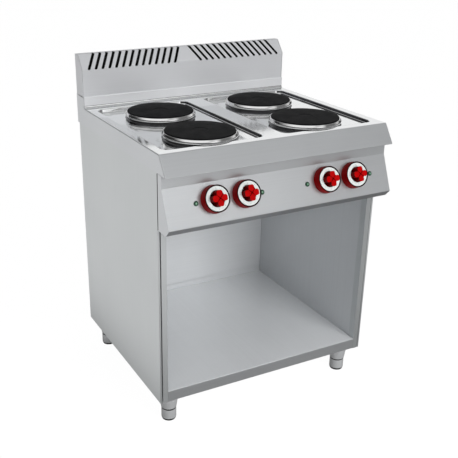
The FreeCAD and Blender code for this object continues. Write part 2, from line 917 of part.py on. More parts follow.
def knob(x):
    """Cup with a hub behind and a four lobed handle that stands out of its recess."""
    cup_radius = bezel_front_radius - bezel_wall - knob_rim_clearance
    floor = knob_cup_bottom + knob_cup_floor
    cup = Part.makeCylinder(cup_radius, knob_cup_top - knob_cup_bottom, Vector(0, 0, knob_cup_bottom))
    cup = cup.cut(Part.makeCylinder(dial_inner_radius, knob_cup_top, Vector(0, 0, floor)))
    hub = Part.makeCylinder(hub_radius, knob_cup_bottom - hub_start + bend_radius, Vector(0, 0, hub_start))
    body = cup.fuse(hub)
    handle = Part.makeCylinder(handle_core_radius, handle_top - floor + bend_radius,
                               Vector(0, 0, floor - bend_radius))
    for number in range(lobe_count):
        handle = handle.fuse(handle_arm(360 / lobe_count * number))
    front = Part.makeCone(handle_radius + handle_chamfer, 0, handle_radius + handle_chamfer,
                          Vector(0, 0, handle_top - 2 * handle_chamfer))
    keep = Part.makeCylinder(handle_radius + handle_chamfer, handle_top - 2 * handle_chamfer,
                             Vector(0, 0, 0)).fuse(front)
    handle = handle.common(keep)
    dimple = Part.makeCylinder(handle_dimple_radius, handle_dimple_depth + cut_over,
                               Vector(0, 0, handle_top - handle_dimple_depth))
    body = body.fuse(handle.cut(dimple))
    body = body.cut(shaft_section(shaft_radius + shaft_fit, hub_start - cut_over, shaft_tip + shaft_fit))
    return set_on_face(body.removeSplitter(), x, knob_down_face)


def shaft_section(radius, start, end):
    """Switch spindle between two heights, flattened on its upper side."""
    rod = Part.makeCylinder(radius, end - start, Vector(0, 0, start))
    flat = radius - shaft_flat
    return rod.cut(box(-radius, radius, flat, radius + cut_over, collar_tip + seam_gap, end + cut_over))


def dial_ring(x):
    """White scale ring on the front rim of the knob."""
    cup_radius = bezel_front_radius - bezel_wall - knob_rim_clearance
    profile = [
        (dial_inner_radius, knob_cup_top),
        (cup_radius, knob_cup_top),
        (cup_radius, knob_cup_top + dial_height),
        (dial_inner_radius, knob_cup_top + dial_height),
    ]
    return face_turned(profile, x, knob_down_face)


def switch_shaft(x):
    """Spindle of a switch, from its body to inside the knob hub."""
    return set_on_face(shaft_section(shaft_radius, -shaft_root, shaft_tip), x, knob_down_face)


def rotary_switch(x):
    """Switch body behind the panel, with the collar that carries its spindle."""
    back = -cabinet_sheet - switch_depth
    body = box(-switch_width / 2, switch_width / 2, -switch_height / 2, switch_height / 2,
               back, -cabinet_sheet)
    body = body.makeChamfer(switch_edge, body.Edges)
    body = body.fuse(Part.makeCylinder(collar_radius, cabinet_sheet + collar_tip + switch_edge,
                                       Vector(0, 0, -cabinet_sheet - switch_edge)))
    bore = Part.makeCylinder(shaft_radius + shaft_fit, shaft_root + collar_tip + cut_over,
                             Vector(0, 0, -shaft_root - seam_gap))
    return set_on_face(body.cut(bore), x, knob_down_face)


def lamp_body(x):
    """Pilot lamp holder: a flanged tube through the panel."""
    profile = [
        (lamp_lens_radius - lamp_proud / 2, -lamp_tube_length),
        (lamp_tube_radius - shaft_fit, -lamp_tube_length),
        (lamp_tube_radius - shaft_fit, 0),
        (lamp_radius, 0),
        (lamp_radius, lamp_proud / 2),
        (lamp_lens_radius + lamp_proud / 3, lamp_proud),
        (lamp_lens_radius, lamp_proud),
        (lamp_lens_radius, lamp_proud / 2),
        (lamp_lens_radius - lamp_proud / 2, lamp_proud / 2),
    ]
    return face_turned(profile, x, lamp_down_face)


def lamp_lens(x):
    """Green lens in the front of a pilot lamp holder."""
    radius = lamp_lens_radius - shaft_fit
    profile = [
        (0, lamp_proud / 2),
        (radius, lamp_proud / 2),
        (radius, lamp_proud),
        (radius * lens_shoulder_share, lamp_proud + (lamp_lens_proud - lamp_proud) * lens_rise_share),
        (0, lamp_lens_proud),
    ]
    return face_turned(profile, x, lamp_down_face)


def leg_cup(x, y):
    """Fixed upper part of a leg: a plate under the base bar and a bell round the stem."""
    plate_bottom = leg_height - leg_plate_thickness
    half = leg_plate_size / 2
    plate = box(x - half, x + half, y - half, y + half, plate_bottom, leg_height)
    bell = revolved([
        (0, plate_bottom),
        (leg_cup_top_radius, plate_bottom),
        (leg_cup_belt_radius, plate_bottom - leg_cup_belt_drop),
        (leg_cup_bottom_radius, leg_cup_bottom),
        (0, leg_cup_bottom),
    ], Vector(x, y, 0))
    bore = cylinder(foot_stem_radius + foot_stem_clearance, Vector(x, y, leg_cup_bottom - cut_over),
                    Vector(0, 0, 1), leg_height)
    return plate.fuse(bell).cut(bore)


def foot_sleeve(x, y):
    """Steel sleeve of an adjustable foot."""
    height = leg_cup_bottom - leg_gap - pad_thickness
    start = Vector(x, y, pad_thickness)
    outer = cylinder(foot_sleeve_radius, start, Vector(0, 0, 1), height)
    bore = cylinder(foot_stem_radius, start, Vector(0, 0, 1), height)
    return outer.cut(bore)


def foot_pad(x, y):
    """Black insert of an adjustable foot: pad, threaded stem and the collar over its sleeve."""
    return revolved([
        (0, 0),
        (pad_radius - pad_taper, 0),
        (pad_radius, pad_thickness / 2),
        (pad_radius, pad_thickness),
        (foot_stem_radius, pad_thickness),
        (foot_stem_radius, leg_cup_bottom - leg_gap),
        (foot_collar_radius, leg_cup_bottom - leg_gap),
        (foot_collar_radius, leg_cup_bottom - seam_gap),
        (foot_stem_radius, leg_cup_bottom - seam_gap),
        (foot_stem_radius, foot_stem_top),
        (0, foot_stem_top),
    ], Vector(x, y, 0))


def supply_terminal():
    """Mains terminal block on the inside of the back panel, above the compartment floor."""
    wall = inside_back_y
    low = ceiling_bottom + terminal_above_ceiling
    block = box(terminal_x - terminal_width / 2, terminal_x + terminal_width / 2,
                wall - terminal_depth, wall, low, low + terminal_height)
    spacing = terminal_width / terminal_ways
    for number in range(terminal_ways):
        x = terminal_x - terminal_width / 2 + spacing * (number + 1 / 2)
        hole = cylinder(spacing / 5, Vector(x, wall - terminal_depth / 2, low - cut_over),
                        Vector(0, 0, 1), terminal_height + 2 * cut_over)
        block = block.cut(hole)
    return block


def gland_centre():
    """Middle of the gland on the outer face of the back panel."""
    return Vector(gland_x, back_panel_y, ceiling_bottom + terminal_above_ceiling + terminal_height / 2)


def cable_gland():
    """Gland for the supply cable, through the back panel, with its nut inside."""
    inward = Vector(0, -1, 0)
    tube = cylinder(gland_radius, gland_centre(), inward, gland_length)
    nut = cylinder(gland_nut_radius, gland_centre() + inward * liner_sheet, inward, gland_nut_length)
    bore = cylinder(gland_bore, gland_centre() - inward * cut_over, inward, gland_length + 2 * cut_over)
    return tube.fuse(nut).cut(bore)


def gland_hole():
    """Cutter for the gland hole in the back panel."""
    radius = gland_radius + collar_hole_clearance
    start = gland_centre() + Vector(0, cut_over, 0)
    return cylinder(radius, start, Vector(0, -1, 0), 2 * cut_over + liner_sheet)


def heater_lead(knob_x, plate):
    """Sleeved lead from the back of a switch to the connector of a hotplate."""
    x, y = plate
    block_front = y - connector_offset - connector_width / 2
    block_z = plate_top - plate_body_drop + plate_heater_recess - connector_height / 2
    level = well_floor - lead_level_drop
    start = on_face(knob_x, knob_down_face, -cabinet_sheet - switch_depth)
    points = [
        start,
        start - face_out * lead_exit,
        Vector(knob_x, front_y + lead_front_clear, level),
        Vector(x, block_front - lead_rise_start, level),
        Vector(x, block_front - lead_rise_end, block_z),
        Vector(x, block_front, block_z),
    ]
    radii = [0, lead_bend, lead_bend, lead_bend, lead_bend, 0]
    path = Part.Wire(rounded_edges(points, radii, False))
    section = Part.Wire(Part.makeCircle(lead_radius, start, face_out))
    return path.makePipeShell([section], True, False)


def back_screw_seats():
    """Seats of the back panel screws on the rear flanges of both sides."""
    low = leg_height + back_screw_margin
    high = frame_top - back_screw_margin
    seats = []
    for side in (-1, 1):
        for row in range(back_screw_rows):
            z = low + (high - low) * row / (back_screw_rows - 1)
            seats.append(Vector(side * (half_cabinet - back_screw_inset), rear_flange_y, z))
    return seats


def vent_screw_seats():
    """Seats of the vent screws on the lap over the back panel."""
    first = -vent_screw_spacing * (vent_screw_count - 1) / 2
    z = upstand_top - vent_back_lap / 2
    return [Vector(first + vent_screw_spacing * number, back_panel_y + liner_sheet, z)
            for number in range(vent_screw_count)]


def screw_holes(seats):
    """Cutters for screws that go in from the back."""
    return [cylinder(screw_radius + screw_clearance, seat + Vector(0, cut_over, 0), Vector(0, -1, 0),
                     2 * cut_over + screw_length) for seat in seats]


def main():
    os.makedirs("parts", exist_ok=True)
    export("worktop", worktop())
    export("vent_front", vent_front())
    export("vent_back", vent_back())
    export("vent_left_cheek", vent_cheek(-1))
    export("vent_right_cheek", vent_cheek(1))
    left_side = side_panel()
    export("left_side_panel", left_side)
    export("right_side_panel", mirrored(left_side))
    left_liner = inner_liner()
    export("left_inner_liner", left_liner)
    export("right_inner_liner", mirrored(left_liner))
    export("back_panel", back_panel())
    export("cabinet_floor", cabinet_floor())
    export("front_bottom_rail", front_bottom_rail())
    left_post = front_post()
    export("left_front_post", left_post)
    export("right_front_post", mirrored(left_post))
    export("front_top_rail", top_rail(True))
    export("rear_top_rail", top_rail(False))
    export("compartment_ceiling", compartment_ceiling())
    left_bar = base_bar()
    export("base_bars", [left_bar, mirrored(left_bar)])
    export("control_panel", control_panel())
    export("leg_cups", [leg_cup(x, y) for x, y in leg_places])
    export("plate_studs", [plate_stud(x, y) for x, y in plate_places])
    export("plate_clamp_bars", [clamp_bar(x, y) for x, y in plate_places])
    export("plate_clamp_nuts", [clamp_nut(x, y) for x, y in plate_places])
    export("plate_connectors", [plate_connector(x, y) for x, y in plate_places])
    export("rotary_switches", [rotary_switch(x) for x in knob_columns])
    export("knob_bezels", [knob_bezel(x) for x in knob_columns])
    export("pilot_lamp_bodies", [lamp_body(x) for x in lamp_columns])
    export("pilot_lamp_lenses", [lamp_lens(x) for x in lamp_columns])
    export("supply_terminal_block", supply_terminal())
    export("cable_gland", cable_gland())
    export("heater_leads", [heater_lead(x, plate) for x, plate in zip(knob_columns, plate_places)])
    seats = back_screw_seats() + vent_screw_seats()
    export("back_screws", [screw(seat, Vector(0, 1, 0)) for seat in seats])
    for number, (x, y) in enumerate(plate_places, 1):
        export("hotplate_%d" % number, hotplate(x, y))
        export("spill_ring_%d" % number, spill_ring(x, y))
    for number, x in enumerate(knob_columns, 1):
        export("knob_%d" % number, knob(x))
        export("dial_ring_%d" % number, dial_ring(x))
        export("switch_shaft_%d" % number, switch_shaft(x))
    for number, (x, y) in enumerate(leg_places, 1):
        export("foot_sleeve_%d" % number, foot_sleeve(x, y))
        export("foot_pad_%d" % number, foot_pad(x, y))


main()
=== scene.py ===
"""Hotplate cooker: looks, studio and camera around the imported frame."""

import json
import math

import bmesh
import bpy
from mathutils import Matrix, Vector
from mathutils.geometry import delaunay_2d_cdt


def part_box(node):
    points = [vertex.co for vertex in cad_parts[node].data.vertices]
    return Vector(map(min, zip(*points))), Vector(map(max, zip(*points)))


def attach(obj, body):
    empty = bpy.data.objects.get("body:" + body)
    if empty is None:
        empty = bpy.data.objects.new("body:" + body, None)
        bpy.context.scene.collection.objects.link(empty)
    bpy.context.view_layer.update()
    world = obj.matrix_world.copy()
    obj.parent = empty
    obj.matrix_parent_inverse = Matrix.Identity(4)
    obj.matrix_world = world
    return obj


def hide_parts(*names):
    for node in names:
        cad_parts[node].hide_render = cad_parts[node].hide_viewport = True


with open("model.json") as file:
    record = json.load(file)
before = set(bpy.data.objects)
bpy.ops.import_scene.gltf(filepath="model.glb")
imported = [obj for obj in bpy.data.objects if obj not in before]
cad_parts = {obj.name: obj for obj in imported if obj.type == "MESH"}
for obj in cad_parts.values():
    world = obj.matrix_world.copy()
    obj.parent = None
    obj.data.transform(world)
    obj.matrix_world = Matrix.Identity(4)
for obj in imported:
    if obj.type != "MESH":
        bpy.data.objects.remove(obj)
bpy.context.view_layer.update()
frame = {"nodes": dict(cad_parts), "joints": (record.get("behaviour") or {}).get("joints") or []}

mm = 0.001

# Camera, solved from the photograph
camera_place = Vector((-1.2395, -2.1553, 1.5445))
camera_yaw = math.radians(27.154)
camera_pitch = math.radians(-23.422)
camera_roll = math.radians(0.202)
camera_lens = 60.06
camera_sensor = 36.0
camera_shift = (0.0760, 0.0367)

# Rounds that several pieces share
hair_round = 0.2 * mm
fine_round = 0.3 * mm
small_round = 0.4 * mm
edge_round = 0.5 * mm
soft_round = 0.6 * mm
broad_round = 1.0 * mm

# Resolution and folds
turn_segments = 160
small_segments = 96
circle_steps = 64
corner_steps = 5
corner_limit = 0.49
sharp_angle = math.radians(35)
fold_round = 3.0 * mm
fold_steps = 4
edge_steps = 2
sheet_round = 0.35 * mm
sheet_angle = math.radians(50)
weld_distance = 0.005 * mm
tiny = 1e-7
point_decimals = 6

# Worktop
worktop_low, worktop_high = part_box("worktop")
worktop_sheet = 2 * mm
worktop_edge = 60 * mm
nose_run = 41 * mm
nose_return = 16 * mm
upstand_depth = 69 * mm
upstand_flange = 14 * mm
upstand_round = 8 * mm
upstand_steps = 8
half_worktop = worktop_high.x
cabinet_top = worktop_low.z
worktop_top = cabinet_top + worktop_edge
upstand_top = worktop_high.z
back_y = worktop_high.y
nose_bottom_y = worktop_low.y
nose_top_y = nose_bottom_y + nose_run
upstand_y = back_y - upstand_depth

# Pressed wells
well_outer_rim = 30 * mm
well_front_rim = 33 * mm
well_rear_rim = 37 * mm
well_centre_rim = 68 * mm
well_corner_radius = 24 * mm
well_corner_steps = 20
well_wall_run = 3 * mm
well_side_drop = 10 * mm
well_depth = 12 * mm
well_slope_run = 36 * mm
well_crease_half = 5 * mm
well_lip_radius = 3.4 * mm
well_foot_radius = 2.6 * mm
well_arc_steps = 6
well_path_reach = 4
well_rows = (nose_top_y + well_front_rim, upstand_y - well_rear_rim)
well_columns = (well_centre_rim / 2, half_worktop - well_outer_rim)
well_crease = well_wall_run + well_slope_run
well_creases = (well_crease - well_crease_half, well_crease + well_crease_half)

# Hotplates and spill rings
plate_radius = 110 * mm
plate_top = 948 * mm
plate_rim = 5 * mm
plate_rim_round = 1.6 * mm
plate_body_drop = 19 * mm
plate_body_inset = 6.5 * mm
plate_dimple_radius = 24 * mm
plate_dimple_depth = 1 * mm
plate_dimple_run = 3 * mm
plate_dimple_round = 2 * mm
plate_heater_wall = 7 * mm
plate_heater_recess = 4 * mm
plate_hub_radius = 20 * mm
plate_groove_pitch = 1.5 * mm
plate_hole_clearance = 2.5 * mm
ring_foot_radius = 118 * mm
ring_crown_radius = 113.6 * mm
ring_crown_rise = 2 * mm
ring_crown_round = 0.9 * mm
ring_shoulder_round = 3 * mm
ring_shoulder_inner_round = 1.4 * mm
ring_lip_gap = 0.9 * mm
ring_sheet = 1 * mm
ring_bore_clearance = 1 * mm
ring_bead_radius = 118.2 * mm
ring_bead_height = 11 * mm
ring_bead_round = 8 * mm
ring_waist_radius = 112.6 * mm
ring_waist_height = 3 * mm
ring_waist_round = 1.5 * mm
# Height of the band at the foot of a spill ring that is painted dark: painted shade and painted dark
# reflection under its bead
ring_painted_shade_height = 8 * mm
ring_foot = worktop_top - well_depth - plate_top
plate_body_radius = plate_radius - plate_body_inset
ring_bore = plate_body_radius + ring_bore_clearance
plate_hole_radius = ring_bore + plate_hole_clearance

# Knobs and dials
bezel_height = 27 * mm
bezel_base_radius = 42.5 * mm
bezel_front_radius = 40.7 * mm
bezel_wall = 3.2 * mm
bezel_floor = 3 * mm
bezel_bore = 11 * mm
bezel_red_edge = 0.25 * mm
cup_radius = 36.6 * mm
cup_bottom = 9 * mm
cup_floor = 13 * mm
cup_top = 22.8 * mm
cup_floor_round = 1.2 * mm
hub_radius = 8 * mm
hub_start = 7 * mm
shaft_bore = 3.05 * mm
dial_height = 3 * mm
dial_inner_radius = 24.8 * mm
digit_size = 6.4 * mm
digit_height = 0.08 * mm
tick_length = 2.2 * mm
tick_width = 0.7 * mm
dial_positions = 7
dial_step = math.radians(45)
handle_top = 43.7 * mm
handle_radius = 23.6 * mm
handle_half = 9.4 * mm
handle_tip_half = 6.4 * mm
handle_shoulder = 18 * mm
handle_shoulder_round = 3.6 * mm
handle_tip_round = 3.2 * mm
handle_top_round = 1.5 * mm
handle_top_steps = 4
handle_groove_half = 0.7 * mm
handle_hollow = 2.0 * mm
handle_core_radius = 11 * mm
handle_core_drop = 9 * mm
handle_arms = 4

# Pilot lamps
lamp_radius = 7.5 * mm
lamp_proud = 3 * mm
lamp_shoulder = 2.1 * mm
lamp_lens_radius = 5 * mm
lamp_lens_proud = 4.6 * mm
lamp_dome_radius = 3 * mm
lamp_dome_height = 4.37 * mm
lamp_tube_radius = 5.3 * mm
lamp_tube_length = 26 * mm
lamp_shoulder_round = 1.2 * mm
lens_dome_round = 3 * mm

# Feet
leg_height = 100 * mm
leg_plate_half = 32 * mm
leg_plate_thickness = 3 * mm
leg_cup_drop = 22 * mm
leg_cup_radius = 30 * mm
leg_cup_top_radius = 31 * mm
leg_cup_mouth_radius = 25.6 * mm
leg_cup_mouth_height = 46 * mm
leg_cup_round = 3 * mm
stem_radius = 9 * mm
stem_bore = 9.06 * mm
stem_top = 130 * mm
sleeve_radius = 25 * mm
sleeve_top = 41 * mm
sleeve_round = 0.8 * mm
pad_thickness = 7.5 * mm
pad_radius = 24 * mm
pad_taper = 2 * mm
collar_radius = 23.6 * mm
collar_top = 45.7 * mm

# Black strip in the joint beside the control panel, painted shadow of the narrow gap
seam_width = 2 * mm
seam_depth = 1.4 * mm
seam_proud = 0.3 * mm

# Share of a direction from which a face counts as looking there
level_share = 0.999
wall_share = 0.5
lip_share = 0.15
# Share from which a face inside the vent gets the near-black painted shade
painted_shade_black_share = 0.3
# Share of facing left from which a well wall gets the painted dark reflection
well_painted_shade_share = 0.8

# Share of a radius within which a triangle lies inside a round outline
hole_share = 0.999
rim_share = 0.99

# Textures, in repeats to the metre, with their depths and tints
fine_grain = (6, 1400)
coarse_grain = (1.5, 260)
wiping_marks = 5
wiped_dark = 0.965
wiped_light = 1.03
spun_waves = 9000.0
spun_marks = 25
spun_depth = 0.002 * mm
spun_dark = 0.94
iron_waves = 2 * math.pi / plate_groove_pitch
iron_grit = 900
iron_stains = 18
iron_depth = 0.04 * mm
plastic_pebble = 900
plastic_clouds = 30
plastic_depth = 0.02 * mm
lens_facets = 700
lens_depth = 0.04 * mm
braid_weave = 1500
braid_depth = 0.2 * mm

# Steel finishes: change of roughness in the grain and in the wiping marks, and depth of the grain
ground = (0.03, 0.04, 0.0015 * mm)
coated = (0.06, 0.05, 0.0015 * mm)
brushed = (0.03, 0.05, 0.0008 * mm)
drawn = (0.02, 0.03, 0.0005 * mm)
rolled = (0.02, 0.03, 0.0003 * mm)
polished = (0.01, 0.02, 0.0002 * mm)

# Floor: levels and places of the light it gives back, from front to back and from left to right
floor_half = 30.0
floor_grey = 0.55
floor_roughness = 0.9
floor_clearness = 0.88
floor_glow = (
    ((0.80, 0.22, -1.4, -0.55), (1.06, 0.30, 0.1, 1.75)),
    ((0, 0.92, -0.45, -0.15), (1, 0, -0.6, -0.3)),
    ((0, 1.3, -0.3, 0.3), (0, 1, 0.9, 1.3)),
    ((0, 1.3, 0.4, 0.9), (0, 1, -0.5, -0.1)),
)

# Room that the steel mirrors: heights and grey levels, from the horizon up, of its bright window,
# plain wall, dim wall, dark corner and rear, and where they meet
room_levels = (
    ((0.0, 0.05), (0.14, 0.06), (0.28, 1.35), (0.5, 1.3), (0.66, 0.52), (0.9, 0.4), (1.0, 0.65)),
    ((0.0, 0.4), (0.3, 0.18), (0.5, 0.18), (0.7, 0.36), (0.9, 0.38), (1.0, 0.65)),
    ((0.0, 0.02), (0.42, 0.04), (0.54, 1.0), (0.8, 1.0), (0.9, 0.45), (1.0, 0.65)),
    ((0.0, 0.02), (0.45, 0.03), (0.6, 0.7), (1.0, 0.65)),
    ((0.0, 0.03), (0.12, 0.05), (0.2, 0.95), (0.42, 1.0), (0.5, 0.45), (0.9, 0.4), (1.0, 0.65)),
)
dim_to_window = (0.0, 0.15)
window_to_plain = (0.38, 0.60)
corner_to_rear = (-0.38, -0.2)
front_to_rear = (-0.2, 0.2)
background_strength = 1.10
ambient_grey = 0.42

# Soft lights: place, target, size and power
lights = {
    "key": ((-2.2, -3.2, 1.6), (0, 0, 0.7), 1.2, 26),
    "top": ((-0.6, -1.6, 3.2), (0, 0, 0.9), 2.4, 11),
    "fill": ((0.9, -3.2, 1.6), (0, 0.2, 0.3), 1.6, 100),
}

hinges = [joint for joint in frame["joints"] if joint["type"] == "hinge"]
slides = [joint for joint in frame["joints"] if joint["type"] == "slide"]
face_out = -Vector(hinges[0]["axis"])
face_down = Vector((0, -face_out.z, face_out.y))


def middle_of(node):
    """Middle of a CAD node's box."""
    low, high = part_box(node)
    return (low + high) / 2


plate_places = [middle_of(f"hotplate_{number}") for number in range(1, 5)]


# Materials

def set_inputs(node, inputs):
    """Set a node's inputs to values, or join them to sockets of the same tree."""
    for key, value in inputs.items():
        if isinstance(value, bpy.types.NodeSocket):
            node.id_data.links.new(value, node.inputs[key])
        else:
            node.inputs[key].default_value = value


def add_node(tree, kind, inputs, output, **settings):
    """New node with its settings and inputs, and the named one of its outputs."""
    node = tree.nodes.new(kind)
    for key, value in settings.items():
        setattr(node, key, value)
    set_inputs(node, inputs)
    return node.outputs[output]


def new_material(name):
    """Node material with a Principled shader alone."""
    material = bpy.data.materials.new(name)
    material.use_nodes = True
    tree = material.node_tree
    tree.nodes.clear()
    shader = tree.nodes.new("ShaderNodeBsdfPrincipled")
    set_inputs(tree.nodes.new("ShaderNodeOutputMaterial"), {"Surface": shader.outputs["BSDF"]})
    return material, tree, shader


def split_point(tree, coordinates):
    """X, Y and Z of a kind of texture coordinates."""
    point = add_node(tree, "ShaderNodeTexCoord", {}, coordinates)
    split = tree.nodes.new("ShaderNodeSeparateXYZ")
    set_inputs(split, {"Vector": point})
    return split.outputs


def noise(tree, scale, detail=3.0, rough=0.55, stretch=(1, 1, 1)):
    """Noise value on object coordinates multiplied by a stretch per axis."""
    point = add_node(tree, "ShaderNodeTexCoord", {}, "Object")
    stretched = add_node(tree, "ShaderNodeMapping", {"Vector": point, "Scale": stretch}, "Vector")
    inputs = {"Vector": stretched, "Scale": scale, "Detail": detail, "Roughness": rough}
    return add_node(tree, "ShaderNodeTexNoise", inputs, "Fac")


def spread(value, low, high, start=0.3, end=0.7):
    """Value mapped from start..end to low..high."""
    inputs = {"Value": value, "From Min": start, "From Max": end, "To Min": low, "To Max": high}
    return add_node(value.id_data, "ShaderNodeMapRange", inputs, "Result")


def combine(operation, first, second=0.0):
    """Math node on a socket and another socket or a number."""
    return add_node(first.id_data, "ShaderNodeMath", {0: first, 1: second}, "Value", operation=operation)


def greatest(value, *others):
    """Greatest of several values."""
    for other in others:
        value = combine("MAXIMUM", value, other)
    return value


def weighted(first, first_share, second, second_share):
    """Sum of two values, each times its share."""
    return combine("ADD", combine("MULTIPLY", first, first_share), combine("MULTIPLY", second, second_share))


def blend(factor, first, second):
    """Colour between two colours."""
    inputs = {"Factor": factor, "A": first, "B": second}
    return add_node(factor.id_data, "ShaderNodeMix", inputs, "Result", data_type="RGBA")


def tint(factor, dark, light):
    """Colour between two written colours."""
    return blend(factor, (*dark, 1), (*light, 1))


def bump(height, distance):
    """Normal bent by a height."""
    return add_node(height.id_data, "ShaderNodeBump", {"Height": height, "Distance": distance}, "Normal")


def distance_from_axis(tree):
    """Distance of a surface point from the piece's own Z axis."""
    x, y, _ = split_point(tree, "Object")
    square = combine("ADD", combine("POWER", x, 2.0), combine("POWER", y, 2.0))
    return combine("SQRT", square)


def ripples(radius, waves):
    """Rings over the distance from the axis."""
    return combine("SINE", combine("MULTIPLY", radius, waves))


def scaled(colour, factor):
    """Colour made lighter or darker."""
    return [min(1.0, channel * factor) for channel in colour]


def grain_stretch(axis, along, across):
    """Stretch of a grain that runs along one axis."""
    stretch = [across, across, across]
    stretch["XYZ".index(axis)] = along
    return stretch


def steel(name, colour, roughness, axis, finish=ground, metal=1.0):
    """Stainless steel with a ground grain along one axis and faint wiping marks."""
    material, tree, shader = new_material(name)
    grain, smudge, depth = finish
    fine = noise(tree, 1, 2.0, stretch=grain_stretch(axis, *fine_grain))
    coarse = noise(tree, 1, 3.0, stretch=grain_stretch(axis, *coarse_grain))
    marks = noise(tree, wiping_marks, 4.0, 0.6)
    height = weighted(fine, 0.6, coarse, 0.4)
    shade = combine("ADD", spread(coarse, 0, 0.5), spread(marks, 0, 0.5))
    set_inputs(shader, {
        "Metallic": metal,
        "Roughness": combine("ADD", spread(height, roughness - grain, roughness + grain),
                             spread(marks, -smudge, smudge)),
        "Base Color": tint(shade, scaled(colour, wiped_dark), scaled(colour, wiped_light)),
        "Normal": bump(height, depth),
    })
    return material


def turned_steel(name, colour, roughness):
    """Bright spun steel with fine rings round the middle of the piece."""
    material, tree, shader = new_material(name)
    rings = ripples(distance_from_axis(tree), spun_waves)
    marks = noise(tree, spun_marks)
    set_inputs(shader, {
        "Metallic": 1.0,
        "Roughness": combine("ADD", spread(rings, -0.02, 0.02, -1, 1),
                             spread(marks, roughness - 0.03, roughness + 0.04)),
        "Base Color": tint(spread(marks, 0, 1), scaled(colour, spun_dark), colour),
        "Normal": bump(rings, spun_depth),
    })
    return material


def cast_iron(name, dark, light):
    """Black seasoned cast iron with turning grooves round the middle of the piece."""
    material, tree, shader = new_material(name)
    radius = distance_from_axis(tree)
    grooves = ripples(radius, iron_waves)
    grit = noise(tree, iron_grit, rough=0.7)
    stains = noise(tree, iron_stains, 4.0, 0.6)
    middle = spread(radius, 0.5, 0.0, plate_dimple_radius * 0.8, plate_dimple_radius * 1.3)
    shade = combine("ADD", spread(stains, 0, 0.6), middle)
    set_inputs(shader, {
        "Metallic": 0.0,
        "Specular IOR Level": 0.05,
        "Roughness": spread(stains, 0.52, 0.66),
        "Base Color": tint(shade, dark, light),
        "Normal": bump(weighted(grooves, 0.5, grit, 0.9), iron_depth),
    })
    return material


def moulded(name, dark, light, roughness, specular=0.5):
    """Moulded plastic or painted surface with a fine texture."""
    material, tree, shader = new_material(name)
    pebble = noise(tree, plastic_pebble, 2.0)
    clouds = noise(tree, plastic_clouds)
    set_inputs(shader, {
        "Specular IOR Level": specular,
        "Roughness": spread(pebble, roughness - 0.05, roughness + 0.05),
        "Base Color": tint(spread(clouds, 0, 1), dark, light),
        "Normal": bump(pebble, plastic_depth),
    })
    return material


def lamp_glass(name, pale, dark):
    """Lens, pale in the middle and dark at its edge, with small facets."""
    material, tree, shader = new_material(name)
    facets = noise(tree, lens_facets, 1.0)
    edge = spread(distance_from_axis(tree), 0.0, 1.0, lamp_lens_radius * 0.4, lamp_lens_radius * 0.9)
    shade = combine("ADD", edge, spread(facets, -0.1, 0.1))
    set_inputs(shader, {
        "Roughness": 0.14,
        "Coat Weight": 0.4,
        "Base Color": tint(shade, pale, dark),
        "Normal": bump(facets, lens_depth),
    })
    return material


def braid(name, dark, light):
    """Glass fibre sleeve with a woven pattern."""
    material, tree, shader = new_material(name)
    weave = noise(tree, braid_weave, 1.0)
    set_inputs(shader, {
        "Roughness": 0.8,
        "Base Color": tint(spread(weave, 0, 1), dark, light),
        "Normal": bump(weave, braid_depth),
    })
    return material


blacks = ((0.004, 0.004, 0.004), (0.010, 0.010, 0.010))
polished_x = steel("polished_steel", (0.81, 0.82, 0.825), 0.09, "X", polished)
satin_x = steel("satin_steel_across", (0.60, 0.615, 0.63), 0.34, "X", metal=0.8)
satin_z = steel("satin_steel_upright", (0.60, 0.62, 0.625), 0.36, "Z", metal=0.8)
# Darker steel for the underside of the control panel's bottom fold: painted shade
lip_painted_shade_x = steel("lip_painted_shade_steel", (0.30, 0.305, 0.315), 0.40, "X", metal=0.8)
upstand_x = steel("upstand_steel", (0.76, 0.77, 0.79), 0.40, "X", brushed, 0.5)
rail_x = steel("rail_steel", (0.50, 0.512, 0.525), 0.34, "X", metal=0.8)
# Darker copy of the upright side steel for the right front post: painted shade
post_z = steel("post_steel", (0.52, 0.54, 0.545), 0.36, "Z", metal=0.8)
hood_x = steel("hood_steel_across", (0.66, 0.67, 0.69), 0.40, "X", brushed, 0.5)
# Inner steels differ in brightness for the light inside the cabinet: the upright liners painted darker as
# painted shade, and the floor steel, which the ceiling and base bars share, painted lighter as painted light
inner_x = steel("inner_steel_across", (0.70, 0.715, 0.73), 0.34, "X", rolled, 0.35)
inner_y = steel("inner_steel_deep", (0.82, 0.835, 0.85), 0.22, "Y", polished, 0.35)
inner_z = steel("inner_steel_upright", (0.58, 0.595, 0.61), 0.36, "Z", drawn, 0.6)
# Near-black steel for the steep well walls that face left: painted dark reflection and shade
well_painted_shade = steel("well_painted_shade", (0.06, 0.06, 0.064), 0.14, "Y", polished)
zinc = steel("zinc_steel", (0.45, 0.46, 0.47), 0.42, "X", coated)
foot_grey = steel("foot_grey", (0.62, 0.63, 0.64), 0.22, "Z", drawn, 0.55)
ring_steel = turned_steel("ring_steel", (0.80, 0.80, 0.80), 0.12)
# Near-black spun steel for the lower band of each spill ring: painted shade and painted dark reflection
# under the bead
ring_painted_shade = turned_steel("ring_painted_shade", (0.12, 0.12, 0.125), 0.18)
iron = cast_iron("cast_iron", (0.002, 0.002, 0.0025), (0.005, 0.005, 0.0057))
# Near-black used as painted shade inside the vent and in the narrow side joints
painted_shade_black = moulded("inner_black", *blacks, 0.6, 0.2)
red = moulded("knob_red", (0.27, 0.0004, 0.0006), (0.33, 0.0006, 0.001), 0.42, 0.05)
# Darker red for the side walls of the knob handles: painted shade
painted_shade_red = moulded("painted_shade_red", (0.10, 0.0002, 0.0004), (0.15, 0.0003, 0.0006), 0.42, 0.05)
red_sleeve = moulded("bezel_red", (0.18, 0.0003, 0.0010), (0.26, 0.0005, 0.0012), 0.38, 0.05)
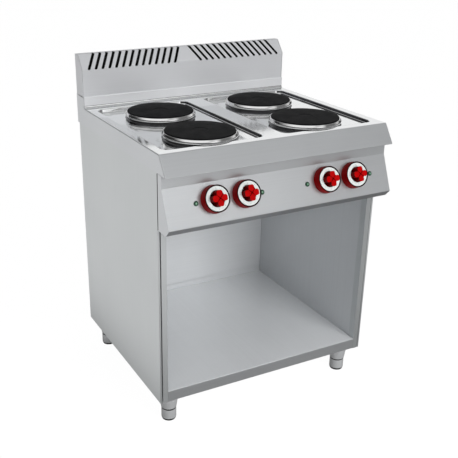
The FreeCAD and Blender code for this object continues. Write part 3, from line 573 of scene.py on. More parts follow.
# Near-black red for the knob recess, the handle core between the grooves and the sleeve's front and inside:
# painted shade
knob_painted_shade = moulded("knob_painted_shade", (0.004, 0.0006, 0.0006), (0.010, 0.001, 0.001), 0.4, 0.15)
white = moulded("dial_white", (0.50, 0.525, 0.515), (0.54, 0.565, 0.555), 0.5, 0.15)
grey_print = moulded("dial_print", (0.22, 0.22, 0.24), (0.30, 0.30, 0.33), 0.5, 0.3)
lamp_dark = moulded("lamp_holder", (0.004, 0.028, 0.014), (0.008, 0.045, 0.022), 0.35, 0.4)
lamp_green = lamp_glass("lamp_green", (0.13, 0.23, 0.16), (0.006, 0.05, 0.022))
black_rubber = moulded("black_plastic", *blacks, 0.55, 0.12)
ceramic = moulded("ceramic", (0.70, 0.68, 0.62), (0.82, 0.80, 0.75), 0.45, 0.4)
fibre = braid("lead_sleeve", (0.45, 0.42, 0.36), (0.78, 0.74, 0.66))

material_nodes = {
    polished_x: "worktop",
    satin_x: "control_panel",
    rail_x: "front_bottom_rail",
    hood_x: "vent_front vent_left_cheek vent_right_cheek",
    satin_z: "left_side_panel right_side_panel left_front_post",
    # The right front post takes the darker copy of the left post's steel, painted shade
    post_z: "right_front_post",
    inner_x: "vent_back back_panel front_top_rail rear_top_rail",
    inner_y: "cabinet_floor compartment_ceiling base_bars",
    inner_z: "left_inner_liner right_inner_liner",
    zinc: "plate_studs plate_clamp_bars plate_clamp_nuts back_screws switch_shaft",
    foot_grey: "leg_cups foot_sleeve",
    black_rubber: "rotary_switches cable_gland foot_pad",
    ceramic: "plate_connectors supply_terminal_block",
    fibre: "heater_leads",
    iron: "hotplate",
    ring_steel: "spill_ring",
    red_sleeve: "knob_bezels",
    red: "knob",
    white: "dial_ring",
    lamp_dark: "pilot_lamp_bodies",
    lamp_green: "pilot_lamp_lenses",
}
node_materials = {name: material for material, names in material_nodes.items() for name in names.split()}

for name, node in frame["nodes"].items():
    kind = name.rstrip("_1234")
    node.data.materials.clear()
    node.data.materials.append(node_materials[kind])


# Mesh helpers

def add_piece(mesh, body, materials, nodes=(), place=Matrix.Identity(4)):
    """Object named as its mesh, which rides on a body and stands for CAD nodes."""
    piece = bpy.data.objects.new(mesh.name, mesh)
    bpy.context.collection.objects.link(piece)
    piece.matrix_world = place
    for material in materials:
        mesh.materials.append(material)
    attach(piece, body)
    if nodes:
        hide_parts(*nodes)


def finished(name, build):
    """Smooth mesh from a bmesh, with sharp edges where its faces turn a lot."""
    mesh = bpy.data.meshes.new(name)
    bmesh.ops.recalc_face_normals(build, faces=build.faces)
    build.to_mesh(mesh)
    build.free()
    mesh.shade_smooth()
    mesh.set_sharp_from_angle(angle=sharp_angle)
    return mesh


def round_edges(build, edges, size, steps):
    """Round edges of a bmesh."""
    bmesh.ops.bevel(build, geom=edges, offset=size, offset_type="OFFSET", segments=steps,
                    profile=0.5, affect="EDGES", clamp_overlap=True)


def join_rings(build, low, high):
    """Faces between two rings of vertices, either of which may be a single point."""
    faces = []
    for number in range(len(low)):
        beside = (number + 1) % len(low)
        corners = [low[number], low[beside], high[beside], high[number]]
        faces.append(build.faces.new(list(dict.fromkeys(corners))))
    return faces


def add_box(build, size, place):
    """Box in a bmesh, of a size and at a placement."""
    made = bmesh.ops.create_cube(build, size=1.0)
    bmesh.ops.transform(build, matrix=place @ Matrix.Diagonal((*size, 1)), verts=made["verts"])
    return made["verts"]


def extent(points):
    """Lowest and highest corners of the box round some points."""
    columns = list(zip(*points))
    return Vector([min(column) for column in columns]), Vector([max(column) for column in columns])


def circle(radius, height, count=circle_steps):
    """Points of a level circle round the Z axis."""
    angles = [2 * math.pi * number / count for number in range(count)]
    return [(radius * math.cos(angle), radius * math.sin(angle), height) for angle in angles]


def arc_points(before, here, after, rounding, steps):
    """Points of the arc that rounds a corner of a flat path."""
    into = before - here
    away = after - here
    half_angle = into.angle(away) / 2
    run = min(rounding / math.tan(half_angle), into.length * corner_limit, away.length * corner_limit)
    size = run * math.tan(half_angle)
    middle = (into.normalized() + away.normalized()).normalized()
    centre = here + middle * (size / math.sin(half_angle))
    first = here + into.normalized() * run - centre
    last = here + away.normalized() * run - centre
    turn = math.atan2(first.x * last.y - first.y * last.x, first.dot(last))
    points = []
    for step in range(steps + 1):
        angle = turn * step / steps
        cos, sin = math.cos(angle), math.sin(angle)
        points.append(centre + Vector((first.x * cos - first.y * sin, first.x * sin + first.y * cos)))
    return points


def rounded_path(corners, closed, steps=corner_steps):
    """Flat path through corners given as two coordinates and a rounding radius."""
    places = [Vector(corner[:2]) for corner in corners]
    count = len(places)
    points = []
    for index, (here, corner) in enumerate(zip(places, corners)):
        rounding = corner[2]
        if rounding <= 0 or (not closed and index in (0, count - 1)):
            points.append(here)
        else:
            points += arc_points(places[index - 1], here, places[(index + 1) % count], rounding, steps)
    return points


def turned_build(corners, closed, segments):
    """Bmesh turned about Z from corners of radius, height and rounding."""
    build = bmesh.new()
    rings = []
    for radius, height in rounded_path(corners, closed):
        if radius < tiny:
            rings.append([build.verts.new((0, 0, height))] * segments)
        else:
            rings.append([build.verts.new(point) for point in circle(radius, height, segments)])
    following = rings[1:] + rings[:1] if closed else rings[1:]
    for low, high in zip(rings, following):
        join_rings(build, low, high)
    return build


def turned(name, corners, closed=False, segments=turn_segments):
    """Mesh turned about Z from corners of radius, height and rounding."""
    return finished(name, turned_build(corners, closed, segments))


def at_point(point):
    """Upright placement at a point."""
    return Matrix.Translation(Vector(point))


def on_panel(point):
    """Placement on the control panel face, with Z outward and Y up the face."""
    turn = Matrix((Vector((1, 0, 0)), -face_down, face_out)).transposed()
    return at_point(point) @ turn.to_4x4()


# Worktop

def well_floor_depth(across):
    """Depth of a well's floor at a distance from its nearer side."""
    share = (across - well_wall_run) / well_slope_run
    return well_side_drop + (well_depth - well_side_drop) * min(1.0, max(0.0, share))


def well_floor_normal(across, side):
    """Normal of a well's floor at a distance from its nearer side, -1 for the left one."""
    slope = (well_depth - well_side_drop) / well_slope_run
    share = (well_crease + well_crease_half - across) / (2 * well_crease_half)
    lean = slope * min(1.0, max(0.0, share))
    return Vector((-side * lean, 0, 1)).normalized()


def nearer_side(x, x0, x1):
    """Nearer side of a well, -1 for the left one, and the distance to it."""
    return (-1 if x - x0 < x1 - x else 1), min(x - x0, x1 - x)


def well_stations(x0, x1, y0, y1):
    """Rim points of a well as place, inward direction, going round from the left front corner."""
    r = well_corner_radius
    along = [x0 + step for step in well_creases] + [x1 - step for step in reversed(well_creases)]
    corners = [((x0 + r, y0 + r), 180), ((x1 - r, y0 + r), 270),
               ((x1 - r, y1 - r), 0), ((x0 + r, y1 - r), 90)]
    stations = []
    for index, (centre, start) in enumerate(corners):
        for step in range(well_corner_steps + 1):
            angle = math.radians(start + 90 * step / well_corner_steps)
            outward = Vector((math.cos(angle), math.sin(angle), 0))
            stations.append((Vector((*centre, 0)) + outward * r, -outward))
        if index == 0:
            stations += [(Vector((x, y0, 0)), Vector((0, 1, 0))) for x in along]
        if index == 2:
            stations += [(Vector((x, y1, 0)), Vector((0, -1, 0))) for x in reversed(along)]
    return stations


def well_wall(station, x0, x1):
    """Points and normals down a well's wall at one rim station."""
    rim, inward = station
    foot = rim + inward * (well_wall_run + well_foot_radius)
    nearer, _ = nearer_side(rim.x, x0, x1)
    _, across = nearer_side(foot.x, x0, x1)
    drop = well_floor_depth(across)
    corners = [
        (-well_path_reach * well_lip_radius, 0, 0),
        (0, 0, well_lip_radius),
        (well_wall_run, -drop, well_foot_radius),
        (well_wall_run + well_path_reach * well_foot_radius, -drop, 0),
    ]
    path = rounded_path(corners, False, well_arc_steps)[1:-1]
    wall_angle = math.atan2(drop, well_wall_run)
    floor_normal = well_floor_normal(across, nearer)
    wall_normal = inward * math.sin(wall_angle) + Vector((0, 0, math.cos(wall_angle)))
    points, normals = [], []
    for index, (run, height) in enumerate(path):
        points.append(Vector((rim.x, rim.y, worktop_top + height)) + inward * run)
        if index <= well_arc_steps:
            angle = wall_angle * index / well_arc_steps
            normals.append(inward * math.sin(angle) + Vector((0, 0, math.cos(angle))))
        else:
            share = (index - well_arc_steps - 1) / well_arc_steps
            normals.append(wall_normal.slerp(floor_normal, share))
    return points, normals


class Skin:
    """Vertices, normals and faces of a sheet, gathered patch by patch."""

    def __init__(self):
        self.points = []
        self.normals = []
        self.faces = []

    def add(self, points, normals, faces):
        """Add a patch with its own vertices."""
        start = len(self.points)
        self.points += [Vector(point) for point in points]
        self.normals += [Vector(normal) for normal in normals]
        self.faces += [[start + index for index in face] for face in faces]

    def border(self):
        """Edges that only one face uses, where vertices at the same place count as one."""
        keys = [tuple(round(value, point_decimals) for value in point) for point in self.points]
        used = {}
        for face in self.faces:
            for first, second in zip(face, face[1:] + face[:1]):
                used.setdefault(frozenset((keys[first], keys[second])), []).append((first, second))
        return [users[0] for users in used.values() if len(users) == 1]

    def mesh(self, name, thickness):
        """Mesh of the skin with a second skin behind it and flat edges between them."""
        count = len(self.points)
        points = self.points + [point - normal * thickness
                                for point, normal in zip(self.points, self.normals)]
        faces = list(self.faces)
        loops = [self.normals[index] for face in faces for index in face]
        for face in self.faces:
            faces.append([index + count for index in reversed(face)])
            loops += [-self.normals[index] for index in reversed(face)]
        for first, second in self.border():
            edge = [second, first, first + count, second + count]
            across = (points[first] - points[second]).cross(self.normals[first]).normalized()
            faces.append(edge)
            loops += [across] * len(edge)
        mesh = bpy.data.meshes.new(name)
        mesh.from_pydata(points, [], faces)
        mesh.shade_smooth()
        mesh.normals_split_custom_set(loops)
        return mesh


def flat_region(outlines, creases, keep):
    """Triangles of a flat region bounded by outlines, with crease lines kept as edges."""
    flat, edges = [], []
    for outline in outlines:
        start = len(flat)
        flat += [Vector(point[:2]) for point in outline]
        edges += [(start + index, start + (index + 1) % len(outline)) for index in range(len(outline))]
    for first, second in creases:
        edges.append((len(flat), len(flat) + 1))
        flat += [Vector(first), Vector(second)]
    points, _, faces, _, _, _ = delaunay_2d_cdt(flat, edges, [], 0, tiny)
    kept = []
    for face in faces:
        middle = sum((points[index] for index in face), Vector((0, 0))) / len(face)
        if keep(middle):
            kept.append(list(face))
    return points, kept


def folded_sheet():
    """Nose, flat, upstand and return of the worktop, with rounded folds."""
    outline = [
        (nose_top_y, worktop_top),
        (nose_bottom_y, cabinet_top),
        (nose_bottom_y + nose_return, cabinet_top),
        (back_y, cabinet_top),
        (back_y, upstand_top),
        (upstand_y + upstand_flange, upstand_top),
        (upstand_y, upstand_top),
        (upstand_y, worktop_top),
    ]
    flat, nose, underside, upstand, flange = (7, 0), (0, 1), (1, 2), (6, 7), (5, 6)
    build = bmesh.new()
    left = [build.verts.new((-half_worktop, y, z)) for y, z in outline]
    right = [build.verts.new((half_worktop, y, z)) for y, z in outline]
    build.faces.new(left)
    build.faces.new(right[::-1])
    for first, second in (flat, nose, underside, upstand, flange):
        build.faces.new([left[first], right[first], right[second], left[second]])
    bmesh.ops.recalc_face_normals(build, faces=build.faces)
    if min(build.faces, key=lambda face: face.calc_center_median().y).normal.y > 0:
        bmesh.ops.reverse_faces(build, faces=build.faces)
    foot = [edge for edge in build.edges if set(edge.verts) == {left[-1], right[-1]}]
    round_edges(build, foot, upstand_round, upstand_steps)
    shared = [edge for edge in build.edges if len(edge.link_faces) == 2]
    folds = [edge for edge in shared if edge.calc_face_angle() > sharp_angle]
    round_edges(build, folds, fold_round, fold_steps)
    return build


def add_shell(skin):
    """Folded sheet of the worktop without its flat, and the rectangle that the flat filled."""
    build = folded_sheet()
    normals = []
    for vertex in build.verts:
        total = sum((face.normal * face.calc_area() for face in vertex.link_faces), Vector((0, 0, 0)))
        normals.append(total.normalized())
    level = [face for face in build.faces if face.normal.z > level_share]
    top = max(level, key=lambda face: face.calc_area())
    low, high = extent([vertex.co for vertex in top.verts])
    build.faces.remove(top)
    build.verts.index_update()
    skin.add([vertex.co for vertex in build.verts], normals,
             [[vertex.index for vertex in face.verts] for face in build.faces])
    build.free()
    return [(-high.x, low.y), (high.x, low.y), (high.x, high.y), (-high.x, high.y)]


def add_well(skin, side):
    """Wall and floor of one well, and its outermost loop on the flat of the worktop."""
    x0, x1 = sorted(side * column for column in well_columns)
    walls = [well_wall(station, x0, x1) for station in well_stations(x0, x1, *well_rows)]
    levels = len(walls[0][0])
    points = [point for wall in walls for point in wall[0]]
    normals = [normal for wall in walls for normal in wall[1]]
    faces = []
    for index in range(len(walls)):
        here = index * levels
        beside = (index + 1) % len(walls) * levels
        faces += [[here + level, beside + level, beside + level + 1, here + level + 1]
                  for level in range(levels - 1)]
    skin.add(points, normals, faces)
    foot = [wall[0][-1] for wall in walls]
    holes = [place for place in plate_places if x0 < place.x < x1]
    rims = [[(place.x + x, place.y + y) for x, y, _ in circle(plate_hole_radius, 0)] for place in holes]
    low, high = extent(foot)
    creases = [((x, low.y), (x, high.y)) for reach in well_creases for x in (x0 + reach, x1 - reach)]

    def in_floor(middle):
        return all((middle - place.xy).length > plate_hole_radius * hole_share for place in holes)

    flat, faces = flat_region([foot] + rims, creases, in_floor)
    floor_points, floor_normals = [], []
    for point in flat:
        nearer, across = nearer_side(point.x, x0, x1)
        floor_points.append((point.x, point.y, worktop_top - well_floor_depth(across)))
        floor_normals.append(well_floor_normal(across, nearer))
    skin.add(floor_points, floor_normals, faces)
    return [wall[0][0] for wall in walls]


def worktop_mesh():
    """Polished worktop: folded edges, two pressed wells and the flat between them."""
    skin = Skin()
    border = add_shell(skin)
    rims = [add_well(skin, side) for side in (-1, 1)]
    boxes = [extent(rim) for rim in rims]
    radius = well_corner_radius + well_lip_radius

    def on_flat(middle):
        for low, high in boxes:
            beyond_x = max(low.x + radius - middle.x, middle.x - high.x + radius, 0)
            beyond_y = max(low.y + radius - middle.y, middle.y - high.y + radius, 0)
            rounded = math.hypot(beyond_x, beyond_y) < radius * rim_share
            if rounded and low.x < middle.x < high.x and low.y < middle.y < high.y:
                return False
        return True

    flat, faces = flat_region([border] + rims, [], on_flat)
    skin.add([(point.x, point.y, worktop_top) for point in flat], [(0, 0, 1)] * len(flat), faces)
    return skin.mesh("worktop_skin", worktop_sheet)


def add_worktop():
    """Worktop as one folded and pressed sheet."""
    mesh = worktop_mesh()
    materials = [polished_x, satin_x, upstand_x, well_painted_shade]
    for polygon in mesh.polygons:
        place = polygon.center
        if abs(place.x) > half_worktop - fold_round or place.y < nose_top_y + fold_round:
            polygon.material_index = materials.index(satin_x)
        elif place.y > upstand_y - fold_round and place.z > worktop_top + upstand_round:
            polygon.material_index = materials.index(upstand_x)
        # Steep well walls facing left take the near-black steel, a painted dark reflection
        elif polygon.normal.x < -well_painted_shade_share:
            polygon.material_index = materials.index(well_painted_shade)
    add_piece(mesh, "root", materials, ["worktop"])


# Hotplates

def hotplate_corners():
    """Profile of a hotplate, its middle at the top face."""
    bottom = -plate_body_drop
    recess = bottom + plate_heater_recess
    inside = plate_body_radius - plate_heater_wall
    return [
        (0, -plate_dimple_depth, 0),
        (plate_dimple_radius, -plate_dimple_depth, plate_dimple_round),
        (plate_dimple_radius + plate_dimple_run, 0, plate_dimple_round),
        (plate_radius, 0, plate_rim_round),
        (plate_radius, -plate_rim, small_round),
        (plate_body_radius, -plate_rim, small_round),
        (plate_body_radius, bottom, broad_round),
        (inside, bottom, broad_round),
        (inside, recess, broad_round),
        (plate_hub_radius, recess, broad_round),
        (plate_hub_radius, bottom, broad_round),
        (0, bottom, 0),
    ]


def spill_ring_corners():
    """Profile of a spill ring, measured from the top face of its hotplate."""
    seat = -plate_rim
    under = seat - ring_sheet
    crown = seat + ring_crown_rise
    waist = ring_foot + ring_waist_height
    bead = ring_foot + ring_bead_height
    lip = plate_radius + ring_lip_gap
    return [
        (ring_foot_radius, ring_foot, fine_round),
        (ring_waist_radius, waist, ring_waist_round),
        (ring_bead_radius, bead, ring_bead_round),
        (ring_crown_radius + ring_sheet / 2, seat, ring_shoulder_round),
        (ring_crown_radius - ring_sheet / 2, crown, ring_crown_round),
        (lip, crown, soft_round),
        (lip, seat, hair_round),
        (ring_bore, seat, hair_round),
        (ring_bore, under, hair_round),
        (ring_crown_radius - ring_sheet, under, ring_shoulder_inner_round),
        (ring_bead_radius - ring_sheet, bead, ring_bead_round - ring_sheet),
        (ring_waist_radius - ring_sheet, waist, ring_waist_round),
        (ring_foot_radius - ring_sheet, ring_foot, fine_round),
    ]


def add_hotplates():
    """Four turned hotplates in their spill rings."""
    for number, place in enumerate(plate_places, 1):
        centre = at_point((place.x, place.y, plate_top))
        plate = turned(f"hotplate_{number}_turned", hotplate_corners())
        add_piece(plate, "root", [iron], [f"hotplate_{number}"], centre)
        ring = turned(f"spill_ring_{number}_turned", spill_ring_corners(), True)
        # The lower band of the ring takes the near-black steel: painted shade and painted dark reflection
        for polygon in ring.polygons:
            if polygon.center.z < ring_foot + ring_painted_shade_height:
                polygon.material_index = 1
        add_piece(ring, "root", [ring_steel, ring_painted_shade], [f"spill_ring_{number}"], centre)


# Knobs and pilot lamps

def bezel_mesh(name):
    """Fixed sleeve round a knob, with its second material, a painted shade, on its front and inside."""
    inner = bezel_front_radius - bezel_wall
    mesh = turned(name, [
        (bezel_bore, 0, 0),
        (bezel_base_radius, 0, soft_round),
        (bezel_front_radius, bezel_height, broad_round),
        (inner, bezel_height, soft_round),
        (inner, bezel_floor, soft_round),
        (bezel_bore, bezel_floor, fine_round),
    ], True)
    # Front and inside of the sleeve painted near-black: painted shade
    for polygon in mesh.polygons:
        if math.hypot(polygon.center.x, polygon.center.y) < bezel_front_radius - bezel_red_edge:
            polygon.material_index = 1
    return mesh


def cup_mesh(name):
    """Cup of a knob: the recess, the seat of its dial and the hub behind."""
    return turned(name, [
        (shaft_bore, cup_floor, 0),
        (dial_inner_radius, cup_floor, cup_floor_round),
        (dial_inner_radius, cup_top, 0),
        (cup_radius, cup_top, 0),
        (cup_radius, cup_bottom, soft_round),
        (hub_radius, cup_bottom, small_round),
        (hub_radius, hub_start, fine_round),
        (shaft_bore, hub_start, 0),
    ], True)


def dial_mesh(name):
    """White scale ring."""
    return turned(name, [
        (dial_inner_radius, cup_top, 0),
        (cup_radius, cup_top, 0),
        (cup_radius, cup_top + dial_height, edge_round),
        (dial_inner_radius, cup_top + dial_height, edge_round),
    ], True)


def digit_mesh(text):
    """Raised figure, centred on the origin."""
    curve = bpy.data.curves.new("digit", "FONT")
    curve.body = text
    curve.size = digit_size
    curve.extrude = digit_height
    curve.align_x = "CENTER"
    curve.align_y = "CENTER"
    carrier = bpy.data.objects.new("digit", curve)
    bpy.context.collection.objects.link(carrier)
    mesh = bpy.data.meshes.new_from_object(carrier.evaluated_get(bpy.context.evaluated_depsgraph_get()))
    bpy.data.objects.remove(carrier)
    bpy.data.curves.remove(curve)
    return mesh


def dial_marks_mesh(name, digits):
    """Switch positions on the dial: a figure at each stop and a short line between."""
    build = bmesh.new()
    outward = Matrix.Translation((0, (dial_inner_radius + cup_radius) / 2, cup_top + dial_height))
    for stop, digit in enumerate(digits):
        before = len(build.verts)
        build.from_mesh(digit)
        build.verts.ensure_lookup_table()
        turn = Matrix.Rotation(-stop * dial_step, 4, "Z")
        bmesh.ops.transform(build, matrix=turn @ outward, verts=build.verts[before:])
        half_turn = Matrix.Rotation(-(stop + 1 / 2) * dial_step, 4, "Z")
        add_box(build, (tick_width, tick_length, 2 * digit_height), half_turn @ outward)
    return finished(name, build)


def arm_outline():
    """Outline of one handle arm along +X, from the groove at the middle to its tip."""
    shift = handle_groove_half * math.sqrt(2)
    side = [
        (handle_hollow, shift - handle_hollow, 0),
        (handle_half + shift, -handle_half, broad_round),
        (handle_shoulder, -handle_half, handle_shoulder_round),
        (handle_radius, -handle_tip_half, handle_tip_round),
    ]
    return rounded_path(side + [(x, -y, rounding) for x, y, rounding in reversed(side)], True)


def add_prism(build, low_points, high_points):
    """Closed prism in a bmesh between two outlines, as its top, its bottom and its walls."""
    low = [build.verts.new(point) for point in low_points]
    high = [build.verts.new(point) for point in high_points]
    return [build.faces.new(high), build.faces.new(low[::-1])] + join_rings(build, low, high)


def handle_mesh(name):
    """Cross handle of four grooved arms round a lower core, in slots for tops, core and walls."""
    build = bmesh.new()
    outline = arm_outline()
    for number in range(handle_arms):
        turn = Matrix.Rotation(2 * math.pi * number / handle_arms, 3, "Z")
        low, high = [[turn @ Vector((x, y, height)) for x, y in outline]
                     for height in (cup_floor, handle_top)]
        top = add_prism(build, low, high)[0]
        round_edges(build, list(top.edges), handle_top_round, handle_top_steps)
    core_top = handle_top - handle_core_drop
    core = add_prism(build, circle(handle_core_radius, cup_floor), circle(handle_core_radius, core_top))
    # Side walls of the arms take the darker red, painted shade
    for face in build.faces:
        if abs(face.normal.z) < wall_share:
            face.material_index = 2
    # The core between the grooves painted near-black: painted shade
    for face in core:
        face.material_index = 1
    return finished(name, build)


def add_knobs():
    """Four knobs in their sleeves, with dial and figures that turn with the knob."""
    digits = [digit_mesh(str(stop)) for stop in range(dial_positions)]
    for number, joint in enumerate(hinges, 1):
        seat = on_panel(joint["pos_m"])
        body = joint["child"]
        knob = f"knob_{number}"
        dial = f"dial_{number}"
        add_piece(bezel_mesh(f"bezel_{number}"), "root", [red_sleeve, knob_painted_shade],
                  ["knob_bezels"], seat)
        # Cup of the knob in near-black, painted shade of the recess
        add_piece(cup_mesh(f"{knob}_cup"), body, [knob_painted_shade], [knob], seat)
        add_piece(handle_mesh(f"{knob}_handle"), body, [red, knob_painted_shade, painted_shade_red], [knob], seat)
        add_piece(dial_mesh(dial), body, [white], [f"dial_ring_{number}"], seat)
        add_piece(dial_marks_mesh(f"{dial}_figures", digits), body, [grey_print], (), seat)


def lamp_holder_mesh(name):
    """Flanged tube of a pilot lamp."""
    tube_bore = lamp_lens_radius - lamp_proud / 2
    return turned(name, [
        (tube_bore, -lamp_tube_length, 0),
        (lamp_tube_radius, -lamp_tube_length, 0),
        (lamp_tube_radius, 0, 0),
        (lamp_radius, 0, hair_round),
        (lamp_radius, lamp_shoulder, lamp_shoulder_round),
        (lamp_lens_radius + lamp_proud / 4, lamp_proud, small_round),
        (lamp_lens_radius, lamp_proud, hair_round),
        (lamp_lens_radius, lamp_proud / 2, 0),
        (tube_bore, lamp_proud / 2, 0),
    ], True, small_segments)


def lamp_lens_mesh(name):
    """Domed lens of a pilot lamp."""
    return turned(name, [
        (0, lamp_proud / 2, 0),
        (lamp_lens_radius, lamp_proud / 2, 0),
        (lamp_lens_radius, lamp_proud, broad_round),
        (lamp_dome_radius, lamp_dome_height, lens_dome_round),
        (0, lamp_lens_proud, 0),
    ], False, small_segments)


def solid_centres(node):
    """Middles of the separate solids of a CAD node, from left to right."""
    build = bmesh.new()
    build.from_mesh(frame["nodes"][node].data)
    bmesh.ops.remove_doubles(build, verts=build.verts, dist=tiny)
    left = set(build.verts)
    centres = []
    while left:
        stack = [left.pop()]
        group = []
        while stack:
            vertex = stack.pop()
            group.append(vertex.co.copy())
            for edge in vertex.link_edges:
                other = edge.other_vert(vertex)
                if other in left:
                    left.remove(other)
                    stack.append(other)
        low, high = extent(group)
        centres.append((low + high) / 2)
    build.free()
    return sorted(centres, key=lambda point: point.x)


def add_lamps():
    """Pilot lamps on the control panel."""
    knob_point = Vector(hinges[0]["pos_m"])
    for number, middle in enumerate(solid_centres("pilot_lamp_lenses"), 1):
        height = (middle - knob_point).dot(face_out)
        seat = on_panel(middle - face_out * height)
        add_piece(lamp_holder_mesh(f"lamp_{number}_holder"), "root", [lamp_dark],
                  ["pilot_lamp_bodies"], seat)
        add_piece(lamp_lens_mesh(f"lamp_{number}_lens"), "root", [lamp_green],
                  ["pilot_lamp_lenses"], seat)


# Feet

def leg_cup_mesh(name):
    """Bell of a leg with a plate over it."""
    plate_bottom = leg_height - leg_plate_thickness
    build = turned_build([
        (stem_bore, plate_bottom, 0),
        (leg_cup_top_radius, plate_bottom, small_round),
        (leg_cup_radius, plate_bottom - leg_cup_drop, leg_cup_round),
        (leg_cup_mouth_radius, leg_cup_mouth_height, sleeve_round),
        (stem_bore, leg_cup_mouth_height, 0),
    ], True, small_segments)
    size = (2 * leg_plate_half, 2 * leg_plate_half, leg_plate_thickness)
    corners = add_box(build, size, at_point((0, 0, leg_height - leg_plate_thickness / 2)))
    edges = list({edge for vertex in corners for edge in vertex.link_edges})
    round_edges(build, edges, edge_round, edge_steps)
    return finished(name, build)


def foot_sleeve_mesh(name):
    """Steel sleeve of an adjustable foot."""
    return turned(name, [
        (stem_radius, pad_thickness, 0),
        (sleeve_radius, pad_thickness, sleeve_round),
        (sleeve_radius, sleeve_top, sleeve_round),
        (stem_radius, sleeve_top, 0),
    ], True, small_segments)


def foot_pad_mesh(name):
    """Black pad, threaded stem and collar of an adjustable foot."""
    return turned(name, [
        (0, 0, 0),
        (pad_radius - pad_taper, 0, sleeve_round),
        (pad_radius, pad_thickness / 2, broad_round),
        (pad_radius, pad_thickness, 0),
        (stem_radius, pad_thickness, 0),
        (stem_radius, sleeve_top, 0),
        (collar_radius, sleeve_top, 0),
        (collar_radius, collar_top, soft_round),
        (stem_radius, collar_top, 0),
        (stem_radius, stem_top, soft_round),
        (0, stem_top, 0),
    ], False, small_segments)


def add_feet():
    """Four legs: fixed cup, and the sleeve and pad that screw down."""
    for number, joint in enumerate(slides, 1):
        middle = middle_of(f"foot_pad_{number}")
        place = at_point((middle.x, middle.y, 0))
        add_piece(leg_cup_mesh(f"leg_{number}_cup"), "root", [foot_grey], ["leg_cups"], place)
        add_piece(foot_sleeve_mesh(f"foot_{number}_sleeve_turned"), joint["child"],
                  [foot_grey], [f"foot_sleeve_{number}"], place)
        add_piece(foot_pad_mesh(f"foot_{number}_pad_turned"), joint["child"],
                  [black_rubber], [f"foot_pad_{number}"], place)


# Folded cabinet sheets, which keep their CAD mesh

def soften_edges(name):
    """Small round on the sharp edges of a sheet metal node."""
    node = frame["nodes"][name]
    weld = node.modifiers.new("weld", "WELD")
    weld.merge_threshold = weld_distance
    bevel = node.modifiers.new("edge", "BEVEL")
    bevel.width = sheet_round
    bevel.segments = edge_steps
    bevel.limit_method = "ANGLE"
    bevel.angle_limit = sheet_angle
    bevel.use_clamp_overlap = True
    bevel.harden_normals = True


def cover(name, material, direction, share):
    """Second material on the faces of a node that look in a direction."""
    mesh = frame["nodes"][name].data
    mesh.materials.append(material)
    for polygon in mesh.polygons:
        if polygon.normal.dot(Vector(direction)) > share:
            polygon.material_index = 1


def add_seams():
    """Black strip in the joint between each side panel and the folded end of the control panel, painted
    shadow of the narrow gap.
    """
    low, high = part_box("control_panel")
    side_low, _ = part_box("left_side_panel")
    for name, side in (("left_seam", -1), ("right_seam", 1)):
        build = bmesh.new()
        add_box(build, (seam_depth, seam_width, high.z - low.z), Matrix.Identity(4))
        round_edges(build, list(build.edges), seam_proud, 1)
        middle = (side * (high.x + seam_proud - seam_depth / 2), side_low.y, (low.z + high.z) / 2)
        add_piece(finished(name, build), "root", [painted_shade_black], (), at_point(middle))


softened_nodes = """
    left_side_panel right_side_panel left_front_post right_front_post front_bottom_rail
    left_inner_liner right_inner_liner back_panel cabinet_floor compartment_ceiling
    vent_left_cheek vent_right_cheek vent_back
"""
for name in softened_nodes.split():
    soften_edges(name)
# Downward faces of the control panel take the darker steel, painted shade of the underside
cover("control_panel", lip_painted_shade_x, (0, 0, -1), lip_share)
# Faces inside the vent, behind its slots, painted near-black: painted shade
cover("vent_back", painted_shade_black, (0, -1, 0), painted_shade_black_share)
cover("vent_front", painted_shade_black, (0, 1, -0.5), painted_shade_black_share)
cover("vent_left_cheek", painted_shade_black, (1, 0, 0), painted_shade_black_share)
cover("vent_right_cheek", painted_shade_black, (-1, 0, 0), painted_shade_black_share)

add_worktop()
add_hotplates()
add_knobs()
add_lamps()
add_feet()
add_seams()


# Studio

def grey(level):
    """Grey colour of a level."""
    return (level, level, level, 1)


def mixed(factor, first, second):
    """Shader between two shaders."""
    return add_node(factor.id_data, "ShaderNodeMixShader", {"Fac": factor, 1: first, 2: second}, "Shader")


def add_floor():
    """Pale floor that keeps a faint shadow, and shows a foot screwed down below it."""
    mesh = bpy.data.meshes.new("studio_floor")
    corners = [(x * floor_half, y * floor_half, 0) for x, y in ((-1, -1), (1, -1), (1, 1), (-1, 1))]
    mesh.from_pydata(corners, [], [range(4)])
    floor = bpy.data.objects.new("studio_floor", mesh)
    bpy.context.collection.objects.link(floor)
    material, tree, shader = new_material("studio_floor")
    mesh.materials.append(material)
    set_inputs(shader, {"Base Color": grey(floor_grey), "Roughness": floor_roughness})
    x, y, _ = split_point(tree, "Object")
    levels = [combine("MULTIPLY", spread(y, *depth), spread(x, *width)) for depth, width in floor_glow]
    path = tree.nodes.new("ShaderNodeLightPath").outputs
    from_below = add_node(tree, "ShaderNodeNewGeometry", {}, "Backfacing")
    seen_through = greatest(path["Is Camera Ray"], from_below)
    glow = add_node(tree, "ShaderNodeEmission", {"Strength": greatest(*levels)}, "Emission")
    clear = add_node(tree, "ShaderNodeBsdfTransparent", {}, "BSDF")
    clearness = combine("MULTIPLY", path["Is Camera Ray"], floor_clearness)
    share = greatest(clearness, path["Is Glossy Ray"], from_below)
    surface = mixed(share, shader.outputs["BSDF"], mixed(seen_through, glow, clear))
    output = next(node for node in tree.nodes if node.type == "OUTPUT_MATERIAL")
    set_inputs(output, {"Surface": surface})


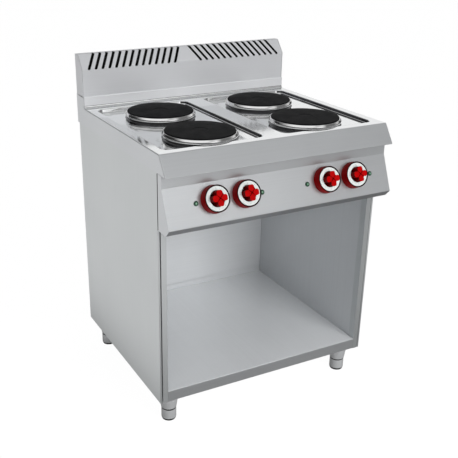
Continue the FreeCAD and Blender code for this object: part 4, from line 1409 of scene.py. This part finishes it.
def height_ramp(height, stops):
    """Grey level over the height of a direction."""
    ramp = height.id_data.nodes.new("ShaderNodeValToRGB")
    set_inputs(ramp, {"Fac": height})
    elements = ramp.color_ramp.elements
    for element, (position, level) in zip(elements, (stops[0], stops[-1])):
        element.position = position
        element.color = grey(level)
    for position, level in stops[1:-1]:
        elements.new(position).color = grey(level)
    return ramp.outputs["Color"]


def change_over(value, limits, first, second):
    """First colour below two limits of a value, and second above them."""
    return blend(spread(value, 0, 1, *limits), first, second)


def background(tree, colour, strength=1.0):
    """Background of one colour and strength."""
    return add_node(tree, "ShaderNodeBackground", {"Color": colour, "Strength": strength}, "Background")


def add_world():
    """White background for the camera, even light, and for reflections a room with a bright window."""
    world = bpy.data.worlds.new("studio_world")
    bpy.context.scene.world = world
    world.use_nodes = True
    tree = world.node_tree
    tree.nodes.clear()
    x, y, z = split_point(tree, "Generated")
    window, plain, dim, corner, rear = [height_ramp(z, stops) for stops in room_levels]
    front = change_over(x, dim_to_window, dim, change_over(x, window_to_plain, window, plain))
    rear = change_over(x, corner_to_rear, corner, rear)
    room = background(tree, change_over(y, front_to_rear, front, rear))
    path = tree.nodes.new("ShaderNodeLightPath").outputs
    reflected = greatest(path["Is Glossy Ray"], path["Is Transmission Ray"])
    unseen = mixed(reflected, background(tree, grey(ambient_grey)), room)
    shown = background(tree, grey(1), background_strength)
    surface = mixed(path["Is Camera Ray"], unseen, shown)
    set_inputs(tree.nodes.new("ShaderNodeOutputWorld"), {"Surface": surface})


def add_area_light(name, place, target, size, power):
    """Soft light pointed at a target, which reflections don't show."""
    data = bpy.data.lights.new(name, "AREA")
    data.size = size
    data.energy = power
    light = bpy.data.objects.new(name, data)
    light.location = place
    light.rotation_euler = (Vector(target) - Vector(place)).to_track_quat("-Z", "Y").to_euler()
    light.visible_glossy = False
    bpy.context.collection.objects.link(light)


def add_camera():
    """Camera at the photograph's place."""
    level = math.cos(camera_pitch)
    forward = Vector((math.sin(camera_yaw) * level, math.cos(camera_yaw) * level, math.sin(camera_pitch)))
    right = Vector((math.cos(camera_yaw), -math.sin(camera_yaw), 0))
    up = right.cross(forward)
    across = right * math.cos(camera_roll) + up * math.sin(camera_roll)
    upward = up * math.cos(camera_roll) - right * math.sin(camera_roll)
    turn = Matrix((across, upward, -forward)).transposed()
    data = bpy.data.cameras.new("photo_camera")
    data.lens = camera_lens
    data.sensor_width = camera_sensor
    data.shift_x, data.shift_y = camera_shift
    camera = bpy.data.objects.new("photo_camera", data)
    camera.matrix_world = at_point(camera_place) @ turn.to_4x4()
    bpy.context.collection.objects.link(camera)
    bpy.context.scene.camera = camera


add_floor()
add_world()
for name, values in lights.items():
    add_area_light(name, *values)
add_camera()
bpy.context.scene.view_settings.view_transform = "Standard"
